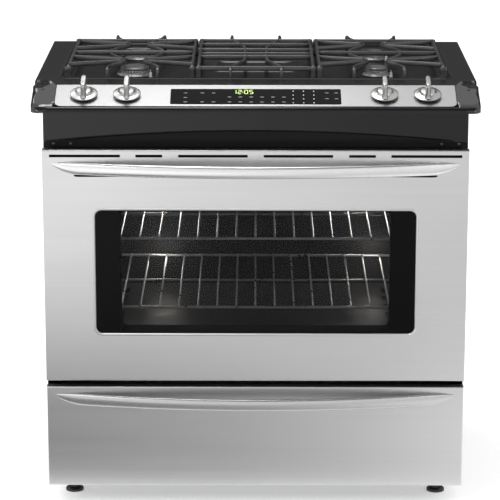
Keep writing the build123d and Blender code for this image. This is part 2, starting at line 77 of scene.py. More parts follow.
BURNERS = {
    "lf": (-0.270, 0.300, 0.040),
    "lr": (-0.270, 0.515, 0.033),
    "rf": (0.270, 0.300, 0.033),
    "rr": (0.270, 0.515, 0.033),
}
GRATE_FRONT, GRATE_BACK = 0.204, 0.572
RAIL_FRONT, RAIL_BACK = 0.200, 0.576
STAND_GAP = 0.0004
HANDLE_HALF_X, TIP_RUN = 0.4355, 0.062
CARD_LINES = 41
CAMERA = {"place": (0.0, FACE_Y - 5.166, 1.880), "lens": 178.5, "pitch": 14.10,
          "roll": 0.1, "shift": (-0.011, 0.0)}


# ---- user settings ----------------------------------------------------------
def length_setting(name, description, default, low, high):
    """Length in metres that the sidebar shows."""
    return FloatProperty(name=name, description=description, default=default,
                         min=low, max=high, unit="LENGTH")


def colour_setting(name, description, default):
    """Base colour that the sidebar shows."""
    return FloatVectorProperty(name=name, description=description, default=default,
                               size=3, min=0, max=1, subtype="COLOR")


class RangeSizes(bpy.types.PropertyGroup):
    """Sizes a user may change without touching the solids."""

    bar_width: length_setting("Grate bar width", "Width of a cast bar at its foot",
                              0.0085, 0.005, 0.015)
    bar_height: length_setting("Grate bar height", "Height of a cast bar",
                               0.0105, 0.008, 0.02)
    well_wall: length_setting("Well wall run", "Width over which the burner well drops",
                              0.013, 0.006, 0.03)
    handle_reach: length_setting("Handle reach", "How far the bowed handles stand out",
                                 0.0545, 0.03, 0.0548)
    handle_height: length_setting("Handle height", "Height of the handle grip",
                                  0.0265, 0.015, 0.027)
    knob_grip: length_setting("Knob grip width", "Width of the blade of a knob",
                              0.0125, 0.008, 0.016)


class RangeColours(bpy.types.PropertyGroup):
    """Base colours of the main finishes."""

    steel: colour_setting("Brushed steel", "Door, drawer and handles",
                          (0.60, 0.60, 0.602))
    console: colour_setting("Control panel", "Sloped control panel",
                            (0.435, 0.435, 0.435))
    enamel: colour_setting("Black enamel", "Cooktop enamel", (0.008, 0.008, 0.009))
    fascia: colour_setting("Fascia black", "Console fascia and end caps",
                           (0.005, 0.005, 0.006))
    iron: colour_setting("Cast iron", "Grates", (0.025, 0.025, 0.026))
    clock: colour_setting("Clock glow", "Colour of the lit clock digits",
                          (0.72, 1.0, 0.25))


def settings():
    """The user's sizes and colours."""
    return bpy.context.scene.range_sizes, bpy.context.scene.range_colours


# ---- node helpers -----------------------------------------------------------
def start_material(name):
    """New node material; returns it with its node tree and Principled shader."""
    material = bpy.data.materials.new(name)
    material.use_nodes = True
    tree = material.node_tree
    return material, tree, tree.nodes["Principled BSDF"]


def connect(tree, node, links=None, values=None):
    """Sets a node's input values and links its inputs."""
    for key, value in (values or {}).items():
        node.inputs[key].default_value = value
    for key, socket in (links or {}).items():
        tree.links.new(socket, node.inputs[key])
    return node


def add_node(tree, kind, links=None, values=None, **options):
    """Adds a node, sets its properties, its input values and its input links."""
    node = tree.nodes.new(kind)
    for key, value in options.items():
        setattr(node, key, value)
    return connect(tree, node, links, values)


def calculate(tree, operation, *terms):
    """Maths node on sockets or plain numbers."""
    node = add_node(tree, "ShaderNodeMath", operation=operation)
    for index, term in enumerate(terms):
        if isinstance(term, bpy.types.NodeSocket):
            tree.links.new(term, node.inputs[index])
        else:
            node.inputs[index].default_value = term
    return node.outputs["Value"]


def object_coords(tree, scale=(1, 1, 1)):
    """Object coordinates stretched by a Mapping node."""
    coord = tree.nodes.new("ShaderNodeTexCoord")
    mapping = add_node(tree, "ShaderNodeMapping", {"Vector": coord.outputs["Object"]},
                       {"Scale": scale})
    return mapping.outputs["Vector"]


def noise(tree, scale, detail=3.0, rough=0.5, stretch=(1, 1, 1)):
    """Noise on Object coordinates, drawn out along an axis by stretch."""
    node = add_node(tree, "ShaderNodeTexNoise", {"Vector": object_coords(tree, stretch)},
                    {"Scale": scale, "Detail": detail, "Roughness": rough})
    return node.outputs["Fac"]


def shade(colour, factor):
    """Colour made lighter or darker."""
    return tuple(min(1.0, c * factor) for c in colour)


def two_tone(tree, factor, colour, dark, light, start=0.3, end=0.7):
    """Colour ramp between a darker and a lighter shade of one colour."""
    node = add_node(tree, "ShaderNodeValToRGB", {"Fac": factor})
    stops = ((start, dark), (end, light))
    for element, (place, amount) in zip(node.color_ramp.elements, stops):
        element.position = place
        element.color = (*shade(colour, amount), 1.0)
    return node.outputs["Color"]


def remap(tree, value, low, high, start=0.3, end=0.7):
    """Value between start and end spread over low to high."""
    node = add_node(tree, "ShaderNodeMapRange", {"Value": value},
                    {"From Min": start, "From Max": end, "To Min": low, "To Max": high})
    return node.outputs["Result"]


def bump(tree, height, strength, distance):
    """Normal tilted by a height pattern."""
    node = add_node(tree, "ShaderNodeBump", {"Height": height},
                    {"Strength": strength, "Distance": distance})
    return node.outputs["Normal"]


def blend(tree, factor, first, second, mode="MIX"):
    """Mix node on two colours; the factor and the second may be plain values."""
    node = add_node(tree, "ShaderNodeMix", {"A": first}, data_type="RGBA",
                    blend_type=mode)
    for key, term in (("Factor", factor), ("B", second)):
        if isinstance(term, bpy.types.NodeSocket):
            tree.links.new(term, node.inputs[key])
        else:
            node.inputs[key].default_value = term
    return node.outputs["Result"]


# ---- finishes ---------------------------------------------------------------
WHITE = (1.0, 1.0, 1.0)


def brushed_metal(name, colour, rough=0.3, depth=0.00004):
    """Brushed metal: long fine scratches along X, faint cloudy tarnish."""
    material, tree, shader = start_material(name)
    fine = noise(tree, 1.0, 4.0, 0.65, (1.2, 500.0, 500.0))
    broad = noise(tree, 2.0, 2.0, stretch=(1.0, 30.0, 30.0))
    cloud = noise(tree, 4.0)
    tone = two_tone(tree, fine, colour, 0.97, 1.03)
    patch = two_tone(tree, cloud, WHITE, 0.97, 1.0)
    connect(tree, shader, {
        "Base Color": blend(tree, 1.0, tone, patch, "MULTIPLY"),
        "Roughness": remap(tree, broad, rough - 0.01, rough + 0.02),
        "Normal": bump(tree, fine, 0.2, depth),
    }, {"Metallic": 1.0})
    return material


def gloss_enamel(name, colour, rough=0.12, peel=0.00003, sheen=0.3):
    """Glossy enamel: orange peel under faint dust."""
    material, tree, shader = start_material(name)
    wave = noise(tree, 90.0, 2.0)
    dust = noise(tree, 14.0, 4.0, 0.6)
    connect(tree, shader, {
        "Base Color": two_tone(tree, dust, colour, 0.9, 1.15, 0.35, 0.75),
        "Roughness": remap(tree, dust, rough * 0.9, rough * 1.2),
        "Normal": bump(tree, wave, 0.25, peel),
    }, {"Specular IOR Level": sheen})
    return material


def iron_finish(name, colour, rough, grain=0.0004):
    """Cast iron under matt enamel: pebbled skin with polished high spots."""
    material, tree, shader = start_material(name)
    pebble = noise(tree, 420.0, 4.0, 0.6)
    wear = noise(tree, 25.0)
    connect(tree, shader, {
        "Base Color": two_tone(tree, wear, colour, 0.8, 1.5, 0.3, 0.75),
        "Roughness": remap(tree, wear, rough - 0.08, rough + 0.1),
        "Normal": bump(tree, pebble, 0.5, grain),
    }, {"Specular IOR Level": 0.7})
    return material


def plain_metal(name, colour, rough=0.35, mottle=60.0, metallic=1.0, depth=0.00005):
    """Cast, plated or turned metal with a mottled tone."""
    material, tree, shader = start_material(name)
    cloud = noise(tree, mottle, 4.0, 0.6)
    fine = noise(tree, mottle * 9)
    connect(tree, shader, {
        "Base Color": two_tone(tree, cloud, colour, 0.82, 1.12),
        "Roughness": remap(tree, cloud, rough - 0.06, rough + 0.1),
        "Normal": bump(tree, fine, 0.4, depth),
    }, {"Metallic": metallic})
    return material


def zinc_sheet(name, colour):
    """Galvanised sheet with crystalline spangle."""
    material, tree, shader = start_material(name)
    cells = add_node(tree, "ShaderNodeTexVoronoi", {"Vector": object_coords(tree)},
                     {"Scale": 70.0})
    grey = add_node(tree, "ShaderNodeRGBToBW", {"Color": cells.outputs["Color"]})
    spangle = grey.outputs["Val"]
    connect(tree, shader, {
        "Base Color": two_tone(tree, spangle, colour, 0.85, 1.12, 0.2, 0.8),
        "Roughness": remap(tree, spangle, 0.32, 0.5, 0.2, 0.8),
    }, {"Metallic": 0.9})
    return material


def woven_seal(name, colour):
    """Braided fibre: crossed diagonal ribs."""
    material, tree, shader = start_material(name)
    ribs = []
    for side in (1, -1):
        wave = add_node(tree, "ShaderNodeTexWave",
                        {"Vector": object_coords(tree, (side, 1, 1))},
                        {"Scale": 130.0, "Distortion": 0.5}, bands_direction="DIAGONAL")
        ribs.append(wave.outputs["Fac"])
    braid = calculate(tree, "MAXIMUM", *ribs)
    connect(tree, shader, {
        "Base Color": two_tone(tree, braid, colour, 0.6, 1.2, 0.3, 0.9),
        "Normal": bump(tree, braid, 0.6, 0.0005),
    }, {"Roughness": 0.9})
    return material


def window_glass(name, half_x, low_z, high_z, clear_alpha, tint):
    """Tinted pane: see-through middle inside an opaque printed border."""
    material, tree, shader = start_material(name)
    parts = add_node(tree, "ShaderNodeSeparateXYZ", {"Vector": object_coords(tree)})
    fade = 0.0015
    across = calculate(tree, "ABSOLUTE", parts.outputs["X"])
    lift = calculate(tree, "SUBTRACT", parts.outputs["Z"], (low_z + high_z) / 2)
    lift = calculate(tree, "ABSOLUTE", lift)
    half_z = (high_z - low_z) / 2
    side = remap(tree, across, 0.0, 1.0, half_x - fade, half_x + fade)
    ends = remap(tree, lift, 0.0, 1.0, half_z - fade, half_z + fade)
    border = calculate(tree, "MAXIMUM", side, ends)
    smear = noise(tree, 9.0, 4.0, stretch=(1, 1, 0.4))
    glaze = two_tone(tree, smear, tint, 0.8, 1.2)
    print_black = (0.0025, 0.0025, 0.0027, 1.0)
    connect(tree, shader, {
        "Base Color": blend(tree, border, glaze, print_black),
        "Alpha": remap(tree, border, clear_alpha, 1.0, 0.0, 1.0),
        "Roughness": remap(tree, smear, 0.03, 0.07),
    }, {"Specular IOR Level": 0.06})
    return material


def clear_pane(name, tint, alpha):
    """Clear inner pane with a faint film of haze."""
    material, tree, shader = start_material(name)
    haze = noise(tree, 12.0, 4.0, stretch=(1, 1, 0.5))
    connect(tree, shader, {
        "Base Color": two_tone(tree, haze, tint, 0.9, 1.0),
        "Alpha": remap(tree, haze, alpha * 0.7, alpha * 1.3),
    }, {"Roughness": 0.06, "Specular IOR Level": 0.10})
    return material


def glowing(name, colour, strength, base=(0.02, 0.02, 0.02)):
    """Lit segment or lamp lens with a slightly uneven glow."""
    material, tree, shader = start_material(name)
    uneven = noise(tree, 160.0, 2.0)
    connect(tree, shader, {"Emission Color": two_tone(tree, uneven, colour, 0.85, 1.0)},
            {"Emission Strength": strength, "Base Color": (*base, 1.0),
             "Roughness": 0.25})
    return material


# ---- surface helpers --------------------------------------------------------
def piece_from_arrays(name, points, quads, smooth=True):
    """Object from an (n, 3) array of points and an (m, 4) array of corner numbers."""
    mesh = bpy.data.meshes.new(name)
    points = np.asarray(points, dtype=np.float64)
    quads = np.asarray(quads, dtype=np.int64)
    mesh.vertices.add(len(points))
    mesh.vertices.foreach_set("co", points.astype(np.float32).ravel())
    mesh.loops.add(quads.size)
    mesh.loops.foreach_set("vertex_index", quads.astype(np.int32).ravel())
    mesh.polygons.add(len(quads))
    mesh.polygons.foreach_set("loop_start", np.arange(0, quads.size, 4, dtype=np.int32))
    mesh.update(calc_edges=True)
    shell = bmesh.new()
    shell.from_mesh(mesh)
    bmesh.ops.remove_doubles(shell, verts=shell.verts, dist=1e-7)
    shell.to_mesh(mesh)
    shell.free()
    mesh.polygons.foreach_set("use_smooth", np.full(len(mesh.polygons), smooth))
    mesh.update()
    made = bpy.data.objects.new(name, mesh)
    bpy.context.scene.collection.objects.link(made)
    return made


def grid_quads(rows, cols, close_rows=False, close_cols=False):
    """Corner numbers of a rows by cols grid, closed round either way if asked."""
    r = np.arange(rows if close_rows else rows - 1)
    c = np.arange(cols if close_cols else cols - 1)
    r, c = np.meshgrid(r, c, indexing="ij")
    r2 = (r + 1) % rows
    c2 = (c + 1) % cols
    quads = np.stack([r * cols + c, r * cols + c2, r2 * cols + c2, r2 * cols + c], -1)
    return quads.reshape(-1, 4)


def outward(points, quads):
    """Turns a closed surface's faces outwards, judged by its signed volume."""
    a, b, c, d = (points[quads[:, k]] - points.mean(axis=0) for k in range(4))
    volume = (np.cross(a, b) * c).sum() + (np.cross(a, c) * d).sum()
    return points, (quads if volume > 0 else quads[:, ::-1])


def join_parts(parts):
    """Stacks several (points, quads) pairs into one pair."""
    points, quads, start = [], [], 0
    for p, q in parts:
        points.append(p)
        quads.append(q + start)
        start += len(p)
    return np.concatenate(points), np.concatenate(quads)


def closed_loft(rings):
    """Rings (n, m, 3) run along a path; both ends are drawn in to their centres."""
    rings = np.asarray(rings)
    caps = []
    for end in (rings[0], rings[-1]):
        centre = end.mean(axis=0, keepdims=True)
        caps.append(centre + (end - centre) * 0.55)
        caps.append(np.repeat(centre, len(end), axis=0))
    full = np.concatenate([caps[1][None], caps[0][None], rings, caps[2][None],
                           caps[3][None]])
    n, m = full.shape[:2]
    return outward(full.reshape(-1, 3), grid_quads(n, m, close_cols=True))


def rounded_loop(half_w, half_h, power, count):
    """Superellipse: |x/w|^p + |y/h|^p = 1, anticlockwise."""
    a = np.linspace(0, 2 * np.pi, count, endpoint=False)
    x = half_w * np.sign(np.cos(a)) * np.abs(np.cos(a)) ** (2 / power)
    y = half_h * np.sign(np.sin(a)) * np.abs(np.sin(a)) ** (2 / power)
    return np.stack([x, y], -1)


def revolve(profile, centre, count=64, ripple=None):
    """Turns (radius, z) pairs about an upright axis; ripple adds to the radius by row
    and angle."""
    profile = np.asarray(profile, dtype=float)
    a = np.linspace(0, 2 * np.pi, count, endpoint=False)
    radius = profile[:, 0][:, None] * np.ones((1, count))
    if ripple is not None:
        radius = radius + ripple(profile, a)
    x = centre[0] + radius * np.cos(a)
    y = centre[1] + radius * np.sin(a)
    z = profile[:, 1][:, None] + np.zeros((1, count))
    points = np.stack([x, y, z], -1).reshape(-1, 3)
    return outward(points, grid_quads(len(profile), count, close_cols=True))


def smooth_step(value):
    """Eased step from 0 to 1: three times the square less twice the cube."""
    value = np.clip(value, 0.0, 1.0)
    return value * value * (3 - 2 * value)


def spline(points, count):
    """Catmull-Rom curve through the points, sampled evenly in its parameter."""
    p = np.asarray(points, dtype=float)
    p = np.concatenate([[2 * p[0] - p[1]], p, [2 * p[-1] - p[-2]]])
    u = np.linspace(0, len(p) - 3 - 1e-9, count)
    i = u.astype(int)
    f = (u - i)[:, None]
    a, b, c, d = p[i], p[i + 1], p[i + 2], p[i + 3]
    return 0.5 * (2 * b + (c - a) * f + (2 * a - 5 * b + 4 * c - d) * f ** 2
                  + (3 * b - a - 3 * c + d) * f ** 3)


def slope_point(x, s, lift):
    """Point on the console slope: across, up the slope and off its surface."""
    x, s, lift = np.broadcast_arrays(x, s, lift)
    y = FACE_Y + SLOPE_T0 + s * math.cos(SLOPE) - lift * math.sin(SLOPE)
    z = SLOPE_Z0 + s * math.sin(SLOPE) + lift * math.cos(SLOPE)
    return np.stack([x, y, z], -1)


def dress(piece, body, material, replaced=()):
    """Gives a new piece its body, finish, slot and the solids it stands for."""
    piece.data.materials.append(material)
    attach(piece, body)
    if replaced:
        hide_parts(*replaced)
    return piece


def add_piece(name, shape, body, material, replaced=(), smooth=True):
    """Makes a dressed piece from one (points, quads) pair or a list of them."""
    points, quads = join_parts(shape) if isinstance(shape, list) else shape
    piece = piece_from_arrays(name, points, quads, smooth)
    return dress(piece, body, material, replaced)


def thicken(piece, name, thickness):
    """Gives an open surface the thickness of its sheet, grown inwards."""
    sheet = piece.modifiers.new(name, "SOLIDIFY")
    sheet.thickness = thickness
    sheet.offset = -1.0


def paint(node, material):
    """Puts one finish on a solid from the frame."""
    piece = frame["nodes"][node]
    piece.data.materials.clear()
    piece.data.materials.append(material)


# ---- cooktop ----------------------------------------------------------------
def grid_lines(low, high, coarse, zones):
    """Line positions: coarse spacing overall, finer inside (start, end, step) zones."""
    lines = [np.arange(low, high, coarse), [high]]
    for start, end, step in zones:
        lines.append(np.arange(start, end + step / 2, step))
    merged = np.unique(np.round(np.concatenate(lines), 5))
    keep = np.concatenate([[True], np.diff(merged) > 0.0004])
    return merged[keep]


def rounded_box_distance(x, t, half_x, t0, t1, radius):
    """Signed distance to a rounded rectangle in plan, negative inside."""
    qx = np.abs(x) - half_x + radius
    qt = np.abs(t - (t0 + t1) / 2) - (t1 - t0) / 2 + radius
    outside = np.hypot(np.maximum(qx, 0), np.maximum(qt, 0))
    return outside + np.minimum(np.maximum(qx, qt), 0) - radius


def rolled_edge(u, low, high):
    """Position and drop along one axis where the sheet rolls over a quarter round and
    then hangs straight down."""
    half = (high - low) / 2 - EDGE_RADIUS
    e = np.maximum(np.abs(u) - half, 0)
    quarter = EDGE_RADIUS * np.pi / 2
    turn = np.minimum(e, quarter) / EDGE_RADIUS
    place = np.minimum(np.abs(u), half) + EDGE_RADIUS * np.sin(turn)
    drop = EDGE_RADIUS * (1 - np.cos(turn)) + np.maximum(e - quarter, 0)
    place = np.sign(u) * place + (low + high) / 2
    return place, np.minimum(drop, EDGE_RADIUS + EDGE_SKIRT)


def cooktop_lines():
    """Line positions of the cooktop grid, across and back from its middle: close
    together along every step in height, wide apart on the flats."""
    quarter = EDGE_RADIUS * np.pi / 2
    roll = np.concatenate([np.array([0.0, 0.33, 0.66, 1.0]) * quarter,
                           quarter + np.array([0.5, 1.0]) * EDGE_SKIRT])
    fine_x = [(0.084, 0.106, 0.002), (0.21, 0.33, 0.005), (0.396, 0.436, 0.0022),
              (0.436, 0.476, 0.002)]
    fine_x += [(-end, -start, step) for start, end, step in fine_x]
    fine_t = [(0.098, 0.158, 0.002), (0.160, 0.200, 0.0022), (0.24, 0.36, 0.005),
              (0.331, 0.351, 0.0013), (0.454, 0.474, 0.0013), (0.455, 0.575, 0.005),
              (0.628, 0.664, 0.0022)]
    middle = (SHEET_T1 + SHEET_T0) / 2
    fine_t = [(start - middle, end - middle, step) for start, end, step in fine_t]
    lines = []
    for half, margin, zones in ((SHEET_HALF_X, 0.004, fine_x),
                                ((SHEET_T1 - SHEET_T0) / 2, 0.005, fine_t)):
        flat = grid_lines(-half + margin, half - margin, 0.012, zones)
        edge = half - EDGE_RADIUS + roll
        lines.append(np.concatenate([-edge[::-1], flat, edge]))
    return lines


def cooktop_shell(wall):
    """Height over plan: a smooth drop inside the well's rounded outline with a small
    bead on its lip, a raised frame in the middle, a ring round every burner and a
    step down under each ear of the console."""
    lines_x, lines_t = cooktop_lines()
    x, drop_x = rolled_edge(lines_x, -SHEET_HALF_X, SHEET_HALF_X)
    t, drop_t = rolled_edge(lines_t, SHEET_T0, SHEET_T1)
    x, t = np.meshgrid(x, t, indexing="ij")
    drop = np.maximum(*np.meshgrid(drop_x, drop_t, indexing="ij"))
    inside = -rounded_box_distance(x, t, *WELL_PLAN)
    z = TOP_Z - WELL_DEPTH * smooth_step(inside / wall)
    bead_high, bead_wide = 0.0020, 0.0032
    z += bead_high * np.exp(-((inside + 0.003) / bead_wide) ** 2)
    raised = -rounded_box_distance(x, t, 0.096, 0.333, 0.472, 0.012)
    frame_high, frame_run = 0.0042, 0.0065
    z += frame_high * (np.clip(raised / frame_run, 0, 1)
                       - np.clip((raised - 0.0095) / frame_run, 0, 1))
    ring_high, ring_wide, ring_gap = 0.0016, 0.005, 0.016
    for bx, bt, radius in BURNERS.values():
        r = np.hypot(x - bx, t - bt)
        z += ring_high * np.exp(-((r - radius - ring_gap) / ring_wide) ** 2)
    ear_low, ear_run, ear_back = 0.0085, 0.003, 0.1490
    edge = 0.4290 + 0.0430 * np.sqrt(np.clip((t - 0.0925) / 0.0575, 0, 1))
    beside = smooth_step((np.abs(x) - edge) / ear_run)
    z -= ear_low * beside * smooth_step((ear_back - t) / ear_run)
    z -= drop
    points = np.stack([x, FACE_Y + t, z], -1)
    return points.reshape(-1, 3), grid_quads(*x.shape)[:, ::-1]


def burner_head(x, t, radius):
    """Turned flange and crown; the crown's radius steps in at every gas port."""
    z0 = WELL_FLOOR
    ports_low, ports_high, port_depth, port_count = 0.0068, 0.0126, 0.0022, 28
    profile = [(0.0, z0 + 0.0002), (radius, z0 + 0.0002), (radius, z0 + 0.003),
               (radius - 0.0012, z0 + 0.0042), (radius - 0.0055, z0 + 0.0046),
               (radius - 0.0070, z0 + 0.0058), (radius - 0.0072, z0 + 0.0072),
               (radius - 0.0072, z0 + 0.0122), (radius - 0.0078, z0 + 0.0134),
               (radius - 0.0095, z0 + 0.0139), (0.0, z0 + 0.0139)]

    def ports(rows, angles):
        """Radius cut wherever a cosine of many turns is high, in the crown's rows only."""
        mask = (rows[:, 1] > z0 + ports_low) & (rows[:, 1] < z0 + ports_high)
        return -port_depth * mask[:, None] * (np.cos(port_count * angles) > 0.35)[None]

    return revolve(profile, (x, FACE_Y + t), 224, ports)


def burner_lid(x, t, radius):
    """Turned cap: upright edge rolled into a shallow dome with a worn ring."""
    z1 = WELL_FLOOR + 0.0141
    r = radius - 0.0085
    profile = [(0.0, z1), (r - 0.002, z1), (r, z1 + 0.0006), (r + 0.0003, z1 + 0.0022),
               (r - 0.0006, z1 + 0.0042), (r - 0.0024, z1 + 0.0056),
               (r - 0.0052, z1 + 0.0063), (r * 0.62, z1 + 0.0066), (r * 0.5, z1 + 0.0062),
               (r * 0.42, z1 + 0.0066), (r * 0.2, z1 + 0.0068), (0.0, z1 + 0.0068)]
    return revolve(profile, (x, FACE_Y + t), 96)


def spark_post(x, t, radius):
    """Pale grey ceramic post with a thin tip beside a burner."""
    z0 = WELL_FLOOR
    profile = [(0.0, z0), (0.0042, z0), (0.0042, z0 + 0.0015), (0.0030, z0 + 0.0025),
               (0.0028, z0 + 0.0095), (0.0018, z0 + 0.0110), (0.0007, z0 + 0.0112),
               (0.0007, z0 + 0.0160), (0.0, z0 + 0.0163)]
    angle, reach = math.radians(38), radius + 0.006
    centre = (x + reach * math.cos(angle), FACE_Y + t - reach * math.sin(angle))
    return revolve(profile, centre, 20)


# ---- grates -----------------------------------------------------------------
def cast_bar(path, width, height):
    """Rounded bar, narrower on top, carried along a path; it keeps level across. Where
    the path runs steeply it keeps the heading of its last level stretch."""
    path = np.asarray(path, dtype=float)
    step = np.gradient(path, axis=0)
    plan = np.hypot(step[:, 0], step[:, 1])
    length = np.linalg.norm(step, axis=1)
    step = step / length[:, None]
    level = plan / length > 0.2
    index = np.where(level, np.arange(len(path)), 0)
    index = np.maximum.accumulate(index)
    first = int(np.argmax(level))
    index = np.where(index < first, first, index)
    heading = step[index][:, :2]
    heading = heading / np.linalg.norm(heading, axis=1)[:, None]
    side = np.stack([heading[:, 1], -heading[:, 0], np.zeros(len(path))], -1)
    up = np.cross(side, step)
    loop = rounded_loop(0.5, 0.5, 3.2, 20)
    across = loop[:, 0] * width * (1.0 - 0.24 * (loop[:, 1] + 0.5))
    rise = loop[:, 1] * height
    rings = (path[:, None] + side[:, None] * across[None, :, None]
             + up[:, None] * rise[None, :, None])
    return closed_loft(rings)


def level_bar(plan_points, width, height, count=16, smooth=False):
    """Bar at cooking level through plan points (x, t)."""
    plan_points = np.asarray(plan_points, dtype=float)
    if smooth:
        plan = spline(plan_points, count)
    else:
        f = np.linspace(0, 1, count)[:, None]
        plan = plan_points[0] + (plan_points[-1] - plan_points[0]) * f
    z = np.full(len(plan), BARS_TOP - height / 2)
    return cast_bar(np.stack([plan[:, 0], FACE_Y + plan[:, 1], z], -1), width, height)


def legged_bar(plan_points, width, height, count=90):
    """Bar along a smooth plan curve whose two ends bend down to the well floor."""
    plan = spline(plan_points, count)
    z = BARS_TOP - height / 2
    run = np.stack([plan[:, 0], FACE_Y + plan[:, 1], np.full(count, z)], -1)
    radius = 0.007
    upright = np.array([[0, 0, 1.0]])
    a = np.linspace(0.15, np.pi / 2, 8)
    down = np.linspace(0.2, 1.0, 5)
    ends = []
    for tip, inner in ((run[0], run[1]), (run[-1], run[-2])):
        out = (tip - inner) / np.linalg.norm(tip - inner)
        curve = (tip[None] + out[None] * (radius * np.sin(a))[:, None]
                 - upright * (radius * (1 - np.cos(a)))[:, None])
        drop = curve[-1, 2] - (WELL_FLOOR + STAND_GAP)
        leg = curve[-1][None] - upright * (drop * down)[:, None]
        ends.append(np.concatenate([curve, leg]))
    return cast_bar(np.concatenate([ends[0][::-1], run, ends[1]]), width, height * 0.92)


def tapered_block(x, t, loop, sizes, heights):
    """Upright loft of one plan outline, scaled by a size at every height."""
    plan = loop[None] * np.array(sizes)[:, None, None]
    z = np.repeat(np.array(heights)[:, None], len(loop), axis=1)
    return closed_loft(np.stack([x + plan[:, :, 0], FACE_Y + t + plan[:, :, 1], z], -1))


def corner_foot(x, t, width):
    """Stout tapered foot under a grate's corner."""
    swell = [1.0, 1.0, 0.94, 0.88, 0.85, 0.85, 0.88, 0.92, 0.86]
    heights = np.linspace(WELL_FLOOR + STAND_GAP, TOP_Z + 0.0205, len(swell))
    return tapered_block(x, t, rounded_loop(width / 2, width / 2, 4, 20), swell, heights)


def foot_pad(x, t):
    """Low wide pad that steadies a grate's front corner."""
    heights = WELL_FLOOR + np.array([STAND_GAP, 0.0080, 0.0098, 0.0105])
    loop = rounded_loop(0.0170, 0.0085, 3.5, 28)
    return tapered_block(x, t, loop, [1.0, 1.0, 0.96, 0.84], heights)


def side_grate_parts(sign, width, height):
    """Outer grate: two wavy legged arms round the burners, rails, cross bars, paired
    fingers that aim at each burner, a foot at every corner and a pad at the front."""
    centre, outer, inner = 0.270 * sign, 0.412 * sign, 0.140 * sign
    parts = []
    wave = [(0.055, 0.190), (0.054, 0.214), (0.041, 0.246), (0.025, 0.276),
            (0.023, 0.300), (0.036, 0.332), (0.053, 0.370), (0.058, 0.405),
            (0.053, 0.440), (0.037, 0.476), (0.022, 0.504), (0.022, 0.528),
            (0.036, 0.562), (0.050, 0.597), (0.055, 0.629)]
    for side in (-1, 1):
        points = [(centre + side * dx, t) for dx, t in wave]
        parts.append(legged_bar(points, width, height))
    for x in (outer, inner):
        parts.append(level_bar([(x, RAIL_FRONT), (x, RAIL_BACK)], width, height))
    for t in (0.407, GRATE_BACK):
        parts.append(level_bar([(outer, t), (inner, t)], width, height))
    for burner_t in (BURNERS["lf"][1], BURNERS["lr"][1]):
        for end in (-1, 1):
            for rail, side in ((outer, sign), (inner, -sign)):
                points = [(rail, burner_t + end * 0.050),
                          (centre + side * 0.098, burner_t + end * 0.034),
                          (centre + side * 0.025, burner_t + end * 0.012)]
                parts.append(level_bar(points, width * 0.9, height, 20, True))
    for t in (GRATE_FRONT, GRATE_BACK):
        parts.append(corner_foot(outer, t, 0.016))
        parts.append(corner_foot(inner, t, 0.013))
    return parts + [foot_pad(outer - 0.008 * sign, GRATE_FRONT)]


def center_grate_parts(width, height):
    """Middle grate: six cross bars and two arms that close in on the middle."""
    rail = 0.126
    parts = []
    wave = [(0.056, 0.190), (0.056, 0.210), (0.044, 0.245), (0.028, 0.290),
            (0.024, 0.340), (0.024, 0.410), (0.025, 0.470), (0.036, 0.520),
            (0.050, 0.565), (0.056, 0.600), (0.056, 0.628)]
    for side in (-1, 1):
        parts.append(legged_bar([(side * dx, t) for dx, t in wave], width, height))
        parts.append(level_bar([(side * rail, RAIL_FRONT), (side * rail, RAIL_BACK)],
                               width, height))
        for t in (GRATE_FRONT, GRATE_BACK):
            parts.append(corner_foot(side * rail, t, 0.013))
    for t in (GRATE_FRONT, 0.349, 0.388, 0.441, 0.517, GRATE_BACK):
        parts.append(level_bar([(-rail, t), (rail, t)], width, height))
    return parts


# ---- console ----------------------------------------------------------------
def fascia_arch(x):
    """Height of the crease: a parabola, highest in the middle."""
    return 0.8445 - 0.0235 * (x / 0.446) ** 2


def front_sheet(x, t, z):
    """Plan and height grids of a side profile (t, z) carried along X."""
    x, t = np.meshgrid(x, t, indexing="ij")
    return x, t, z[None] + np.zeros_like(x)


def front_shape(x, t, z):
    """Shape of a front sheet whose heights are those of the design."""
    points = np.stack([x, FACE_Y + t, z + TOP_Z - DESIGN_TOP], -1)
    return points.reshape(-1, 3), grid_quads(*x.shape)[:, ::-1]


def fascia_shell():
    """Side profile carried along X; below an arch the front is scooped back and at
    both ends it turns back a little."""
    face_t, scoop_depth, scoop_run = 0.0030, 0.0056, 0.0045
    front_z = np.concatenate([np.linspace(0.8215, 0.8500, 26), np.linspace(0.853, 0.882, 8)])
    lip_t, lip_z = np.array([(0.022, 0.8182), (0.010, 0.8182), (0.0055, 0.8184),
                             (0.0038, 0.8194)]).T
    a = np.linspace(0.1, np.pi / 2, 9)
    crown_t = face_t + 0.0078 * (1 - np.cos(a))
    crown_z = 0.882 + 0.0105 * np.sin(a)
    t = np.concatenate([lip_t, np.full(len(front_z), face_t), crown_t])
    z = np.concatenate([lip_z, front_z, crown_z])
    x = np.concatenate([[-0.452], np.linspace(-0.4505, 0.4505, 121), [0.452]])
    x, t, z = front_sheet(x, t, z)
    t = t + scoop_depth * (smooth_step((fascia_arch(x) - z) / scoop_run) * (t < 0.0035))
    ends = np.maximum(np.abs(x) - 0.4495, 0) / 0.0025
    t = t + 0.0012 * ends ** 2
    return front_shape(x, t, z)


def recess_plate():
    """Pressed plate behind the slot under the fascia, with a rolled lower lip and two
    upright ribs."""
    z = np.concatenate([[0.7988, 0.7994, 0.8004], np.linspace(0.802, 0.8178, 6)])
    t = np.concatenate([[0.0285, 0.0268, 0.0262], np.full(6, 0.0260)])
    x, t, z = front_sheet(np.linspace(-0.451, 0.451, 61), t, z)
    rib = np.exp(-((np.abs(x) - 0.30) / 0.004) ** 2)
    return front_shape(x, t - 0.0006 * rib, z)


